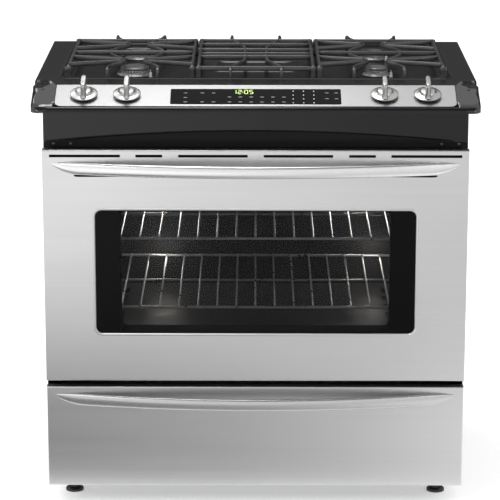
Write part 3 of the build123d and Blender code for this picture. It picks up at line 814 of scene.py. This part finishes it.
def rounded_polygon(corners, count, blur):
    """Closed outline through the corners, softened by a running average."""
    corners = np.asarray(corners, dtype=float)
    closed = np.concatenate([corners, corners[:1]])
    lengths = np.linalg.norm(np.diff(closed, axis=0), axis=1)
    along = np.concatenate([[0], np.cumsum(lengths)])
    u = np.linspace(0, along[-1], count, endpoint=False)
    loop = np.stack([np.interp(u, along, closed[:, k]) for k in (0, 1)], -1)
    window = np.hanning(2 * blur + 3)[1:-1]
    window = window / window.sum()
    wrapped = np.concatenate([loop[-blur:], loop, loop[:blur]])
    return np.stack([np.convolve(wrapped[:, k], window, "valid") for k in (0, 1)], -1)


def end_cap(sign):
    """Ear at the end of the console. In plan it is a closed outline whose back corner
    sweeps round the cooktop. Its top follows the slope, levels off and rises to a bead
    along the cooktop; at the front and the outer side it rolls over a quarter round
    into an upright skirt, and towards the panel the round is a fine seam."""
    corners = [(0.4284, 0.0040), (0.4500, 0.0040), (0.4550, 0.0026), (0.4660, 0.0036),
               (0.4765, 0.0120), (0.4797, 0.0280), (0.4797, 0.0800), (0.4800, 0.1150),
               (0.4760, 0.1390), (0.4690, 0.1500), (0.4610, 0.1330), (0.4480, 0.1120),
               (0.4284, 0.0935)]
    outline = rounded_polygon(corners, 220, 4)
    x0, t0 = outline[:, 0], outline[:, 1]
    outer = smooth_step((x0 - 0.452) / 0.020)
    front = smooth_step((0.030 - t0) / 0.022)
    back = smooth_step((0.150 - t0) / 0.030)
    radius = 0.0010 + 0.0125 * np.maximum(outer * back, front)
    centre = np.array([0.4560, 0.0660])
    away = outline - centre
    length = np.linalg.norm(away, axis=1)
    a = np.linspace(0, np.pi / 2, 11)
    inset = np.concatenate([np.zeros(6), 1 - np.cos(a[1:]), np.ones(8)])
    sink = np.concatenate([np.ones(6), 1 - np.sin(a[1:]), np.zeros(8)])
    fill = np.concatenate([np.zeros(16), np.linspace(0.12, 1.0, 8)])
    reach = 1 - np.minimum(radius[None] * inset[:, None] / length[None], 0.95)
    reach = reach * (1 - fill[:, None])
    plan = centre + away[None] * reach[:, :, None]
    level = 0.9252 - 0.0050 * smooth_step((plan[:, :, 0] - 0.440) / 0.030)
    height = np.minimum(0.8945 + (plan[:, :, 1] - 0.010) * math.tan(SLOPE), level)
    z = height - radius[None] * sink[:, None] + 0.0006
    depth = radius[None] * inset[:, None] + fill[:, None] * length[None]
    rear = smooth_step((t0 - 0.094) / 0.012) * smooth_step((0.4785 - x0) / 0.006)
    z += 0.0056 * rear[None] * np.exp(-(depth / 0.0045) ** 2)
    skirt = np.linspace(0.0, 1.0, 6)[:, None]
    low = np.where(t0 > 0.0955, 0.9190, 0.8795)[None]
    z[:6] = low * (1 - skirt) + z[6:7] * skirt
    rings = np.stack([plan[:, :, 0] * sign, FACE_Y + plan[:, :, 1],
                      z + TOP_Z - DESIGN_TOP], -1)
    base = np.repeat(rings[:1].mean(axis=1, keepdims=True), len(outline), axis=1)
    base[:, :, 2] = rings[:1, :, 2]
    full = np.concatenate([base, rings])
    n, m = full.shape[:2]
    return outward(full.reshape(-1, 3), grid_quads(n, m, close_cols=True))


def slope_mark(x, s, half_x, half_s, low=0.0, high=0.0003, power=4.0, turn=0.0, count=16):
    """Thin raised mark on the slope: a small superellipse pillow."""
    loop = rounded_loop(half_x, half_s, power, count)
    c, d = math.cos(turn), math.sin(turn)
    loop = np.stack([loop[:, 0] * c - loop[:, 1] * d, loop[:, 0] * d + loop[:, 1] * c], -1)
    lifts = np.array([low, high * 0.8 + low * 0.2, high])
    size = np.array([1.0, 1.0, 0.85])
    rings = slope_point(x + loop[None, :, 0] * size[:, None],
                        s + loop[None, :, 1] * size[:, None], lifts[:, None])
    return closed_loft(rings)


SEGMENTS = {"0": "abcdef", "1": "bc", "2": "abged", "5": "afgcd"}
SEGMENT_PLACES = {"a": (0, 1, 0), "g": (0, 0, 0), "d": (0, -1, 0), "f": (-1, 0.5, 1),
                  "b": (1, 0.5, 1), "e": (-1, -0.5, 1), "c": (1, -0.5, 1)}


def clock_parts():
    """Seven-segment digits, each segment a thin pillow, and a colon of two dots."""
    long, short, lifts = 0.0032, 0.0007, (0.0007, 0.0009)
    parts = []
    for digit, x in zip("1205", (-0.0455, -0.0345, -0.0205, -0.0095)):
        for key in SEGMENTS[digit]:
            across, up, standing = SEGMENT_PLACES[key]
            half = (short, long) if standing else (0.0030, short)
            parts.append(slope_mark(x + across * 0.0033, CLOCK_S + up * 0.0075, *half,
                                    *lifts))
    for up in (-0.0028, 0.0028):
        parts.append(slope_mark(-0.0275, CLOCK_S + up, 0.0008, 0.0008, *lifts))
    return parts


def legend_parts():
    """Plain dashes and dots standing in for the touch-pad legends."""
    lifts = (0.0007, 0.00085)
    dashes = [(x, s) for s in (0.053, 0.016) for x in (-0.114, -0.090)]
    dashes += [(-0.150, s) for s in (0.053, 0.034, 0.016)]
    dashes += [(x, s) for s in (0.054, 0.030) for x in (0.152, 0.172)]
    dashes += [(x, s) for s in (0.0365, 0.016) for x in np.linspace(-0.056, 0.060, 6)]
    dots = [(x, s) for x in (0.080, 0.102, 0.124) for s in (0.061, 0.045, 0.029, 0.013)]
    return ([slope_mark(x, s, 0.0040, 0.0007, *lifts) for x, s in dashes]
            + [slope_mark(x, s, 0.0013, 0.0021, *lifts, 3.0) for x, s in dots])


def knob_scale_parts():
    """Short printed ticks round every knob's skirt."""
    ring = 0.0335
    parts = []
    for x in KNOB_XS:
        for angle in np.radians(np.arange(90, 341, 31.25)):
            cx = x + ring * math.cos(angle)
            cs = KNOB_S + ring * math.sin(angle)
            parts.append(slope_mark(cx, cs, 0.0016, 0.0004, 0.0, 0.0001, 4.0, angle, 8))
    return parts


def knob_parts(x, grip):
    """Dished turned skirt and neck with a lofted blade whose sides draw in upwards."""
    profile = np.array([(0.0, 0.0052), (0.0290, 0.0052), (0.0295, 0.0056),
                        (0.0294, 0.0064), (0.0280, 0.0072), (0.0240, 0.0079),
                        (0.0200, 0.0088), (0.0172, 0.0101), (0.0158, 0.0122),
                        (0.0152, 0.0146), (0.0140, 0.0152), (0.0, 0.0152)])
    a = np.linspace(0, 2 * np.pi, 96, endpoint=False)
    rings = slope_point(x + profile[:, :1] * np.cos(a)[None],
                        KNOB_S + profile[:, :1] * np.sin(a)[None], profile[:, 1:])
    skirt = outward(rings.reshape(-1, 3), grid_quads(len(profile), 96, close_cols=True))
    w = grip / 2
    lifts = np.array([8.6, 9.4, 10.6, 12.5, 16, 22, 28, 33, 36.5, 38.4, 39.4, 39.9]) / 1000
    half_w = w * np.array([1.30, 1.18, 1.08, 1.02, 1.0, 1.0, 0.99, 0.97, 0.94, 0.88, 0.76, 0.5])
    half_l = np.array([26.6, 26.2, 25.5, 24.9, 24.4, 24.1, 23.8, 23.4, 22.8, 21.8, 20.4,
                       18.4]) / 1000
    unit = rounded_loop(1.0, 1.0, 3.2, 56)
    blade = slope_point(x + unit[None, :, 0] * half_w[:, None],
                        KNOB_S + unit[None, :, 1] * half_l[:, None], lifts[:, None])
    return [skirt, closed_loft(blade)]


# ---- door and drawer --------------------------------------------------------
def handle_low_edge(x, mid_z, height):
    """Lower edge of a handle: level, then swept up towards the tips."""
    sweep = np.clip((np.abs(x) - (HANDLE_HALF_X - TIP_RUN)) / TIP_RUN, 0, 1)
    return mid_z - height / 2 + (height - 0.006) * sweep ** 2.2, sweep


def sections(x, middle_y, middle_z, half_y, half_z, loop):
    """Closed loft of one upright outline, placed and scaled at every x."""
    rings = np.zeros((len(x), len(loop), 3))
    rings[:, :, 0] = x[:, None]
    rings[:, :, 1] = middle_y[:, None] + half_y[:, None] * loop[:, 0]
    rings[:, :, 2] = middle_z[:, None] + half_z[:, None] * loop[:, 1]
    return closed_loft(rings)


def bow_handle(mid_z, reach, height):
    """Crescent in plan between two parabolas; near the tips the lower edge sweeps
    up, so the section shrinks to a point. Sections are superellipses."""
    inner_x, grip_depth = 0.393, 0.016
    x = HANDLE_HALF_X * np.sin(np.linspace(-np.pi / 2, np.pi / 2, 181))
    outer = -reach * (1 - (x / HANDLE_HALF_X) ** 2)
    inner = -(reach - grip_depth) * np.maximum(1 - (x / inner_x) ** 2, 0)
    inner = inner + 0.0016 * smooth_step((np.abs(x) - inner_x + 0.02) / 0.03)
    low, sweep = handle_low_edge(x, mid_z, height)
    high = mid_z + height / 2 - 0.004 * sweep ** 3
    half_y = np.maximum((inner - outer) / 2, 0.0008)
    return sections(x, FACE_Y + (inner + outer) / 2, (high + low) / 2, half_y,
                    (high - low) / 2, rounded_loop(1.0, 1.0, 2.5, 48))


def handle_painted_shadow(sign, mid_z, height):
    """Painted shadow of the handle: a thin dark bead on the door just under the lower edge
    of the handle, tapering towards the middle."""
    start, end = 0.388, 0.165
    x = np.linspace(start, end, 60)
    size = 0.0021 * (1 - 0.8 * smooth_step((start - x) / 0.223))
    size = size * smooth_step((0.3905 - x) / 0.006)
    low = handle_low_edge(x, mid_z, height)[0] - 0.0030
    return sections(sign * x, np.full(len(x), FACE_Y - 0.0004), low - 0.0012,
                    0.6 * size, size, rounded_loop(1.0, 1.0, 2.0, 16))


def rounded_outline(half_x, low_z, high_z, radius, inset):
    """Outline of a rounded rectangle in the front plane, moved inwards by inset."""
    a = np.linspace(0, np.pi / 2, 9)
    r = radius - inset
    hx, mid, hz = half_x - radius, (low_z + high_z) / 2, (high_z - low_z) / 2 - radius
    corners = []
    for k, (sx, sz) in enumerate(((1, 1), (-1, 1), (-1, -1), (1, -1))):
        turn = a + k * np.pi / 2
        corners.append(np.stack([sx * hx + r * np.cos(turn),
                                 mid + sz * hz + r * np.sin(turn)], -1))
    return np.concatenate(corners)


def window_trim():
    """Bevelled lip round the window: a three-sided section on a rounded outline."""
    section = [(-0.0048, 0.0002), (-0.0040, -0.0006), (-0.0022, -0.0012),
               (-0.0006, -0.0008), (0.0006, 0.0006), (0.0009, 0.0018),
               (-0.0006, 0.0018), (-0.0006, 0.0004)]
    half_x, low_z, high_z, radius = 0.345, 0.395, 0.669, 0.015
    rings = []
    for inset, depth in section:
        outline = rounded_outline(half_x, low_z, high_z, radius, inset)
        y = np.full(len(outline), FACE_Y + depth)
        rings.append(np.stack([outline[:, 0], y, outline[:, 1]], -1))
    rings = np.stack(rings, axis=1)
    n, m = rings.shape[:2]
    return outward(rings.reshape(-1, 3), grid_quads(n, m, close_rows=True, close_cols=True))


def screw_head(x, z, t):
    """Pan head facing forward; a cross-shaped dent is pressed into its dome, and the
    back is flat."""
    head, wide, long = 0.0036, 0.0006, 0.0022
    r = np.concatenate([[0.0], np.linspace(head, 0.0, 12)])[:, None]
    a = np.linspace(0, 2 * np.pi, 48, endpoint=False)[None]
    px, pz = r * np.cos(a), r * np.sin(a)
    dome = 0.0018 * np.sqrt(np.maximum(1 - (r / 0.0037) ** 2, 0)) + np.zeros_like(a)
    slot_a = (np.abs(px) < wide) & (np.abs(pz) < long)
    slot_b = (np.abs(pz) < wide) & (np.abs(px) < long)
    dome = dome - 0.0009 * (slot_a | slot_b)
    dome[0] = 0.0
    points = np.stack([x + px, FACE_Y + t - dome, z + pz], -1)
    rows, cols = dome.shape
    return outward(points.reshape(-1, 3), grid_quads(rows, cols, close_cols=True))


# ---- studio cards -----------------------------------------------------------
def reflection_cards():
    """Three cards seen only in reflections: one low in front of the range, whose tone
    rises away from it and to the left with a bright and a dark patch near it, a dark
    one upright behind it and a grey one above its front."""
    line = np.linspace(0, 1, CARD_LINES)
    u, v = np.meshgrid(line, line, indexing="ij")
    level = np.zeros_like(u)
    x, y = -3.0 + 6.0 * u, -0.45 - 5.5 * v
    far = smooth_step((-y - 0.7) / 2.2)
    left = smooth_step((0.9 - x) / 2.0)
    near_right = np.exp(-((x - 0.8) / 0.5) ** 2 - ((y + 0.8) / 0.6) ** 2)
    near_left = np.exp(-((x + 0.75) / 0.6) ** 2 - ((y + 1.1) / 0.55) ** 2)
    glow = 0.52 + 0.36 * far + 0.78 * far * left + 0.85 * near_right - 0.42 * near_left
    dim = 0.10 + 0.8 * smooth_step((v - 0.75) / 0.25)
    grey = 0.16 + 0.5 * smooth_step((v - 0.85) / 0.15)
    wide = -2.5 + 5.0 * u
    cards = [("front_card", (x, y, level + 0.004), glow),
             ("back_card", (wide, level + 1.1, 0.3 + 1.9 * v), dim),
             ("top_card", (wide, -2.8 + 2.2 * v, level + 2.5), grey)]
    return [(name, np.stack(place, -1).reshape(-1, 3), tone.ravel())
            for name, place, tone in cards]


def card_material(name):
    """Even glow that follows the card's own tone attribute."""
    material, tree, shader = start_material(name)
    tone = add_node(tree, "ShaderNodeAttribute", attribute_name="tone")
    connect(tree, shader, {"Emission Color": tone.outputs["Color"]},
            {"Emission Strength": 1.0, "Base Color": (0.0, 0.0, 0.0, 1.0),
             "Specular IOR Level": 0.0})
    return material


def floor_material(name):
    """Pale studio floor, faintly cloudy and a little self-lit."""
    material, tree, shader = start_material(name)
    connect(tree, shader,
            {"Base Color": two_tone(tree, noise(tree, 2.0), WHITE, 0.90, 0.93)},
            {"Roughness": 0.85, "Emission Color": (1.0, 1.0, 1.0, 1.0),
             "Emission Strength": 0.35})
    return material


def add_lamp(name, light, place, target=None):
    """Puts a light in the scene and aims it if a target is given."""
    lamp = bpy.data.objects.new(name, light)
    lamp.location = place
    if target:
        lamp.visible_camera = False
        aim = Vector(target) - Vector(place)
        lamp.rotation_euler = aim.to_track_quat("-Z", "Y").to_euler()
    bpy.context.scene.collection.objects.link(lamp)


# ---- operators --------------------------------------------------------------
FINISHES = {}


class RANGE_OT_finish_solids(bpy.types.Operator):
    """Gives every solid of the frame its finish"""

    bl_idname = "gas_range.finish_solids"
    bl_label = "Finish the solids"

    def execute(self, context):
        colours = settings()[1]
        made = {
            "stainless": brushed_metal("brushed_stainless", tuple(colours.steel), 0.30),
            "console_silver": brushed_metal("console_brushed", tuple(colours.console), 0.33),
            "side_enamel": gloss_enamel("side_enamel", (0.03, 0.03, 0.032), 0.35),
            "galvanised": zinc_sheet("galvanised_sheet", (0.42, 0.43, 0.44)),
            "black_paint": gloss_enamel("frame_black", (0.004, 0.004, 0.0045), 0.45,
                                        sheen=0.12),
            "leg_steel": plain_metal("leg_plating", (0.07, 0.07, 0.07), 0.4),
            "oven_enamel": gloss_enamel("oven_enamel", (0.034, 0.035, 0.038), 0.45,
                                        sheen=0.1),
            "burner_steel": plain_metal("heat_dulled_steel", (0.28, 0.25, 0.23), 0.45),
            "lamp_glass": glowing("lamp_lens", (1.0, 0.93, 0.82), 6.0, (0.5, 0.5, 0.48)),
            "chrome_wire": plain_metal("rack_chrome", (0.50, 0.50, 0.51), 0.30, 30.0, 0.75),
            "gasket": woven_seal("door_seal_braid", (0.16, 0.16, 0.155)),
            "cooktop_enamel": gloss_enamel("cooktop_enamel", tuple(colours.enamel), 0.22),
            "cast_iron": iron_finish("grate_iron", tuple(colours.iron), 0.34),
            "console_black": gloss_enamel("fascia_gloss", tuple(colours.fascia), 0.10),
            "display": gloss_enamel("display_glass_black", (0.002, 0.002, 0.0022), 0.05,
                                    0.000005, 0.06),
            "pipe_steel": plain_metal("pipe_steel", (0.25, 0.25, 0.26), 0.45),
            "regulator_alloy": plain_metal("regulator_alloy", (0.42, 0.42, 0.42), 0.5),
            "window_glass": window_glass("window_pane", 0.291, 0.3965, 0.6675, 0.30,
                                         (0.006, 0.006, 0.0065)),
            "inner_glass": clear_pane("inner_pane", (0.05, 0.052, 0.052), 0.10),
            "burner_alloy": plain_metal("burner_alloy", (0.26, 0.26, 0.26), 0.42, 90.0),
            "cap_enamel": iron_finish("burner_cap_enamel", (0.07, 0.07, 0.07), 0.30,
                                      0.00008),
            "knob_satin": plain_metal("knob_satin", (0.43, 0.43, 0.42), 0.28, 12.0,
                                      1.0, 0.00001),
            "stem_brass": plain_metal("stem_brass", (0.62, 0.47, 0.20), 0.3),
            "valve_brass": plain_metal("valve_brass", (0.58, 0.44, 0.20), 0.38),
        }
        FINISHES.update(made)
        for row in frame["record"]["subparts"]:
            paint(row["node"], made[row["material_slot"]])
        return {"FINISHED"}


class RANGE_OT_build_cooktop(bpy.types.Operator):
    """Builds the enamelled cooktop with its recessed well"""

    bl_idname = "gas_range.build_cooktop"
    bl_label = "Cooktop"

    def execute(self, context):
        top = add_piece("cooktop_shell", cooktop_shell(settings()[0].well_wall),
                        "range_body", FINISHES["cooktop_enamel"],
                        ["cooktop_panel"])
        thicken(top, "sheet", 0.0022)
        return {"FINISHED"}


class RANGE_OT_build_burners(bpy.types.Operator):
    """Builds burner heads, caps and spark posts"""

    bl_idname = "gas_range.build_burners"
    bl_label = "Burners"

    def execute(self, context):
        ceramic = gloss_enamel("spark_ceramic", (0.38, 0.37, 0.35), 0.3)
        for key, (x, t, radius) in BURNERS.items():
            add_piece("burner_head_" + key, burner_head(x, t, radius), "range_body",
                      FINISHES["burner_alloy"], ["burner_base_" + key])
            add_piece("burner_lid_" + key, burner_lid(x, t, radius), "range_body",
                      FINISHES["cap_enamel"], ["burner_cap_" + key])
            add_piece("spark_post_" + key, spark_post(x, t, radius), "range_body",
                      ceramic)
        return {"FINISHED"}


class RANGE_OT_build_grates(bpy.types.Operator):
    """Builds the three cast grates"""

    bl_idname = "gas_range.build_grates"
    bl_label = "Grates"

    def execute(self, context):
        sizes = settings()[0]
        width, height = sizes.bar_width, sizes.bar_height
        jobs = (("left", side_grate_parts(-1, width, height)),
                ("right", side_grate_parts(1, width, height)),
                ("center", center_grate_parts(width, height)))
        for key, parts in jobs:
            add_piece("cast_grate_" + key, parts, key + "_grate", FINISHES["cast_iron"],
                      ["grate_" + key])
        return {"FINISHED"}


class RANGE_OT_build_console(bpy.types.Operator):
    """Builds the fascia, its recess, the end caps, the marks and the clock"""

    bl_idname = "gas_range.build_console"
    bl_label = "Console"

    def execute(self, context):
        colours = settings()[1]
        paint_black = FINISHES["black_paint"]
        fascia = add_piece("fascia_shell", fascia_shell(), "range_body",
                           FINISHES["console_black"],
                           ["console_fascia"])
        thicken(fascia, "wall", 0.0022)
        # Faces below the crease get the duller, darker frame black: painted shade in the scoop
        # under the arch.
        fascia.data.materials.append(paint_black)
        middles = np.empty(len(fascia.data.polygons) * 3, dtype=np.float32)
        fascia.data.polygons.foreach_get("center", middles)
        middles = middles.reshape(-1, 3)
        crease = fascia_arch(middles[:, 0]) + TOP_Z - DESIGN_TOP - 0.003
        under = middles[:, 2] < crease
        fascia.data.polygons.foreach_set("material_index", under.astype(np.int32))
        plate = add_piece("recess_plate", recess_plate(), "range_body", paint_black)
        thicken(plate, "sheet", 0.0012)
        gloss = gloss_enamel("ear_gloss", tuple(colours.fascia), 0.12, sheen=0.8)
        for key, sign in (("left", -1), ("right", 1)):
            add_piece("console_end_" + key, end_cap(sign), "range_body", gloss,
                      ["end_cap_" + key])
        dark = plain_metal("screw_black_oxide", (0.10, 0.10, 0.10), 0.35)
        for number, x in enumerate((-0.432, -0.395, 0.397, 0.434), start=1):
            add_piece("recess_screw_%d" % number, screw_head(x, 0.8105, 0.0258),
                      "range_body", dark)
        lit = glowing("clock_digits", tuple(colours.clock), 2.2)
        add_piece("clock_digits", clock_parts(), "range_body", lit)
        pale = gloss_enamel("legend_print", (0.42, 0.43, 0.44), 0.4)
        add_piece("display_legend", legend_parts(), "range_body", pale)
        ink = gloss_enamel("scale_print", (0.05, 0.05, 0.055), 0.45)
        add_piece("knob_scales", knob_scale_parts(), "range_body", ink)
        return {"FINISHED"}


class RANGE_OT_build_knobs(bpy.types.Operator):
    """Builds the four push-turn knobs"""

    bl_idname = "gas_range.build_knobs"
    bl_label = "Knobs"

    def execute(self, context):
        for number, x in enumerate(KNOB_XS, start=1):
            add_piece("dial_grip_%d" % number, knob_parts(x, settings()[0].knob_grip),
                      "dial_%d" % number, FINISHES["knob_satin"],
                      ["knob_%d" % number])
        return {"FINISHED"}


class RANGE_OT_build_handles(bpy.types.Operator):
    """Builds the bowed handles of the door and the drawer"""

    bl_idname = "gas_range.build_handles"
    bl_label = "Handles"

    def execute(self, context):
        sizes, colours = settings()
        middles = {}
        # Two copies of one handle steel: the door handle's is painted lighter and the drawer
        # handle's darker, as painted light and shade.
        for key, bright in (("door", 1.22), ("drawer", 0.88)):
            steel = brushed_metal(key + "_handle_steel_painted_light",
                                  shade(tuple(colours.steel), bright), 0.27, 0.000004)
            low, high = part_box(key + "_handle")
            middles[key] = (low[2] + high[2]) / 2
            shape = bow_handle(middles[key], sizes.handle_reach, sizes.handle_height)
            add_piece(key + "_bow_handle", shape, key, steel,
                      [key + "_handle"])
        # Dark strips under the ends of the door handle: painted shadow of the handle, not a
        # real part.
        shadow_paint = gloss_enamel("handle_painted_shadow", (0.006, 0.006, 0.006), 0.6, sheen=0.1)
        strips = [handle_painted_shadow(sign, middles["door"], sizes.handle_height)
                  for sign in (-1, 1)]
        add_piece("door_handle_painted_shadows", strips, "door", shadow_paint)
        return {"FINISHED"}


class RANGE_OT_build_window_trim(bpy.types.Operator):
    """Builds the bevelled lip round the oven window"""

    bl_idname = "gas_range.build_window_trim"
    bl_label = "Window trim"

    def execute(self, context):
        add_piece("window_lip", window_trim(), "door", FINISHES["stainless"],
                  smooth=False)
        return {"FINISHED"}


class RANGE_OT_build_stage(bpy.types.Operator):
    """Builds the floor, the lights and the camera"""

    bl_idname = "gas_range.build_stage"
    bl_label = "Stage"

    def execute(self, context):
        scene = context.scene
        scene.view_settings.view_transform = "Standard"
        scene.view_settings.look = "None"
        world = bpy.data.worlds.new("studio")
        world.use_nodes = True
        connect(world.node_tree, world.node_tree.nodes["Background"],
                values={"Color": (1, 1, 1, 1), "Strength": 1.0})
        scene.world = world

        side = np.array([(-8, -9, 0), (8, -9, 0), (8, 8, 0), (-8, 8, 0)], dtype=float)
        floor = piece_from_arrays("studio_floor", side, [[0, 1, 2, 3]], smooth=False)
        floor.data.materials.append(floor_material("studio_floor_pale"))
        for name, points, glow in reflection_cards():
            quads = grid_quads(CARD_LINES, CARD_LINES)
            card = piece_from_arrays(name, points, quads, smooth=False)
            tone = card.data.color_attributes.new("tone", "FLOAT_COLOR", "POINT")
            tone.data.foreach_set("color", np.repeat(glow, 4).astype(np.float32))
            card.data.materials.append(card_material(name))
            card.visible_camera = card.visible_diffuse = card.visible_shadow = False
            card.visible_transmission = False

        lamps = [
            ("key_softbox", (-2.6, -3.0, 3.0), (0.0, 0.0, 0.5), 2.0, 1.4, 40.0),
            ("fill_softbox", (3.0, -2.6, 2.0), (0.0, 0.0, 0.4), 1.4, 1.8, 16.0),
            ("top_softbox", (-0.3, 0.15, 3.2), (-0.1, 0.1, 0.9), 1.8, 0.8, 34.0),
            ("console_softbox", (-1.8, 1.6, 3.2), (0.0, -0.25, 0.9), 1.4, 1.2, 15.0),
        ]
        for name, place, target, width, height, power in lamps:
            light = bpy.data.lights.new(name, "AREA")
            light.shape = "RECTANGLE"
            light.size, light.size_y, light.energy = width, height, power
            add_lamp(name, light, place, target)
        glows = [(-0.235, 0.510, 0.655, 1.7), (0.235, 0.510, 0.655, 1.7),
                 (-0.215, 0.505, 0.442, 0.30), (0.275, 0.505, 0.442, 0.30)]
        for number, (x, t, z, power) in enumerate(glows):
            light = bpy.data.lights.new("oven_glow", "POINT")
            light.energy, light.shadow_soft_size = power, 0.03
            light.color = (1.0, 0.95, 0.86)
            add_lamp("oven_glow_%d" % number, light, (x, FACE_Y + t, z))

        data = bpy.data.cameras.new("studio_camera")
        data.sensor_width = 36.0
        data.lens = CAMERA["lens"]
        data.shift_x, data.shift_y = CAMERA["shift"]
        camera = bpy.data.objects.new("studio_camera", data)
        camera.location = CAMERA["place"]
        camera.rotation_euler = (math.radians(90 - CAMERA["pitch"]), 0.0, 0.0)
        camera.rotation_euler.rotate_axis("Z", math.radians(CAMERA["roll"]))
        scene.collection.objects.link(camera)
        scene.camera = camera
        return {"FINISHED"}


class RANGE_PT_panel(bpy.types.Panel):
    """Settings and build steps of the gas range"""

    bl_idname = "RANGE_PT_panel"
    bl_label = "Gas range"
    bl_space_type = "VIEW_3D"
    bl_region_type = "UI"
    bl_category = "Gas range"

    def draw(self, context):
        sizes, colours = settings()
        for group in (sizes, colours):
            box = self.layout.box()
            for key in group.__annotations__:
                box.prop(group, key)
        for step in STEPS:
            self.layout.operator(step.bl_idname)


STEPS = (RANGE_OT_finish_solids, RANGE_OT_build_cooktop, RANGE_OT_build_burners,
         RANGE_OT_build_grates, RANGE_OT_build_console, RANGE_OT_build_knobs,
         RANGE_OT_build_handles, RANGE_OT_build_window_trim, RANGE_OT_build_stage)
CLASSES = (RangeSizes, RangeColours) + STEPS + (RANGE_PT_panel,)


def register():
    """Adds the classes and hangs the settings on the scene."""
    for cls in CLASSES:
        bpy.utils.register_class(cls)
    bpy.types.Scene.range_sizes = PointerProperty(type=RangeSizes)
    bpy.types.Scene.range_colours = PointerProperty(type=RangeColours)


def unregister():
    """Takes the settings and the classes away again."""
    del bpy.types.Scene.range_colours
    del bpy.types.Scene.range_sizes
    for cls in reversed(CLASSES):
        bpy.utils.unregister_class(cls)


def main():
    """Runs every build step."""
    register()
    for step in STEPS:
        group, action = step.bl_idname.split(".")
        getattr(getattr(bpy.ops, group), action)()


if __name__ == "__main__":
    main()
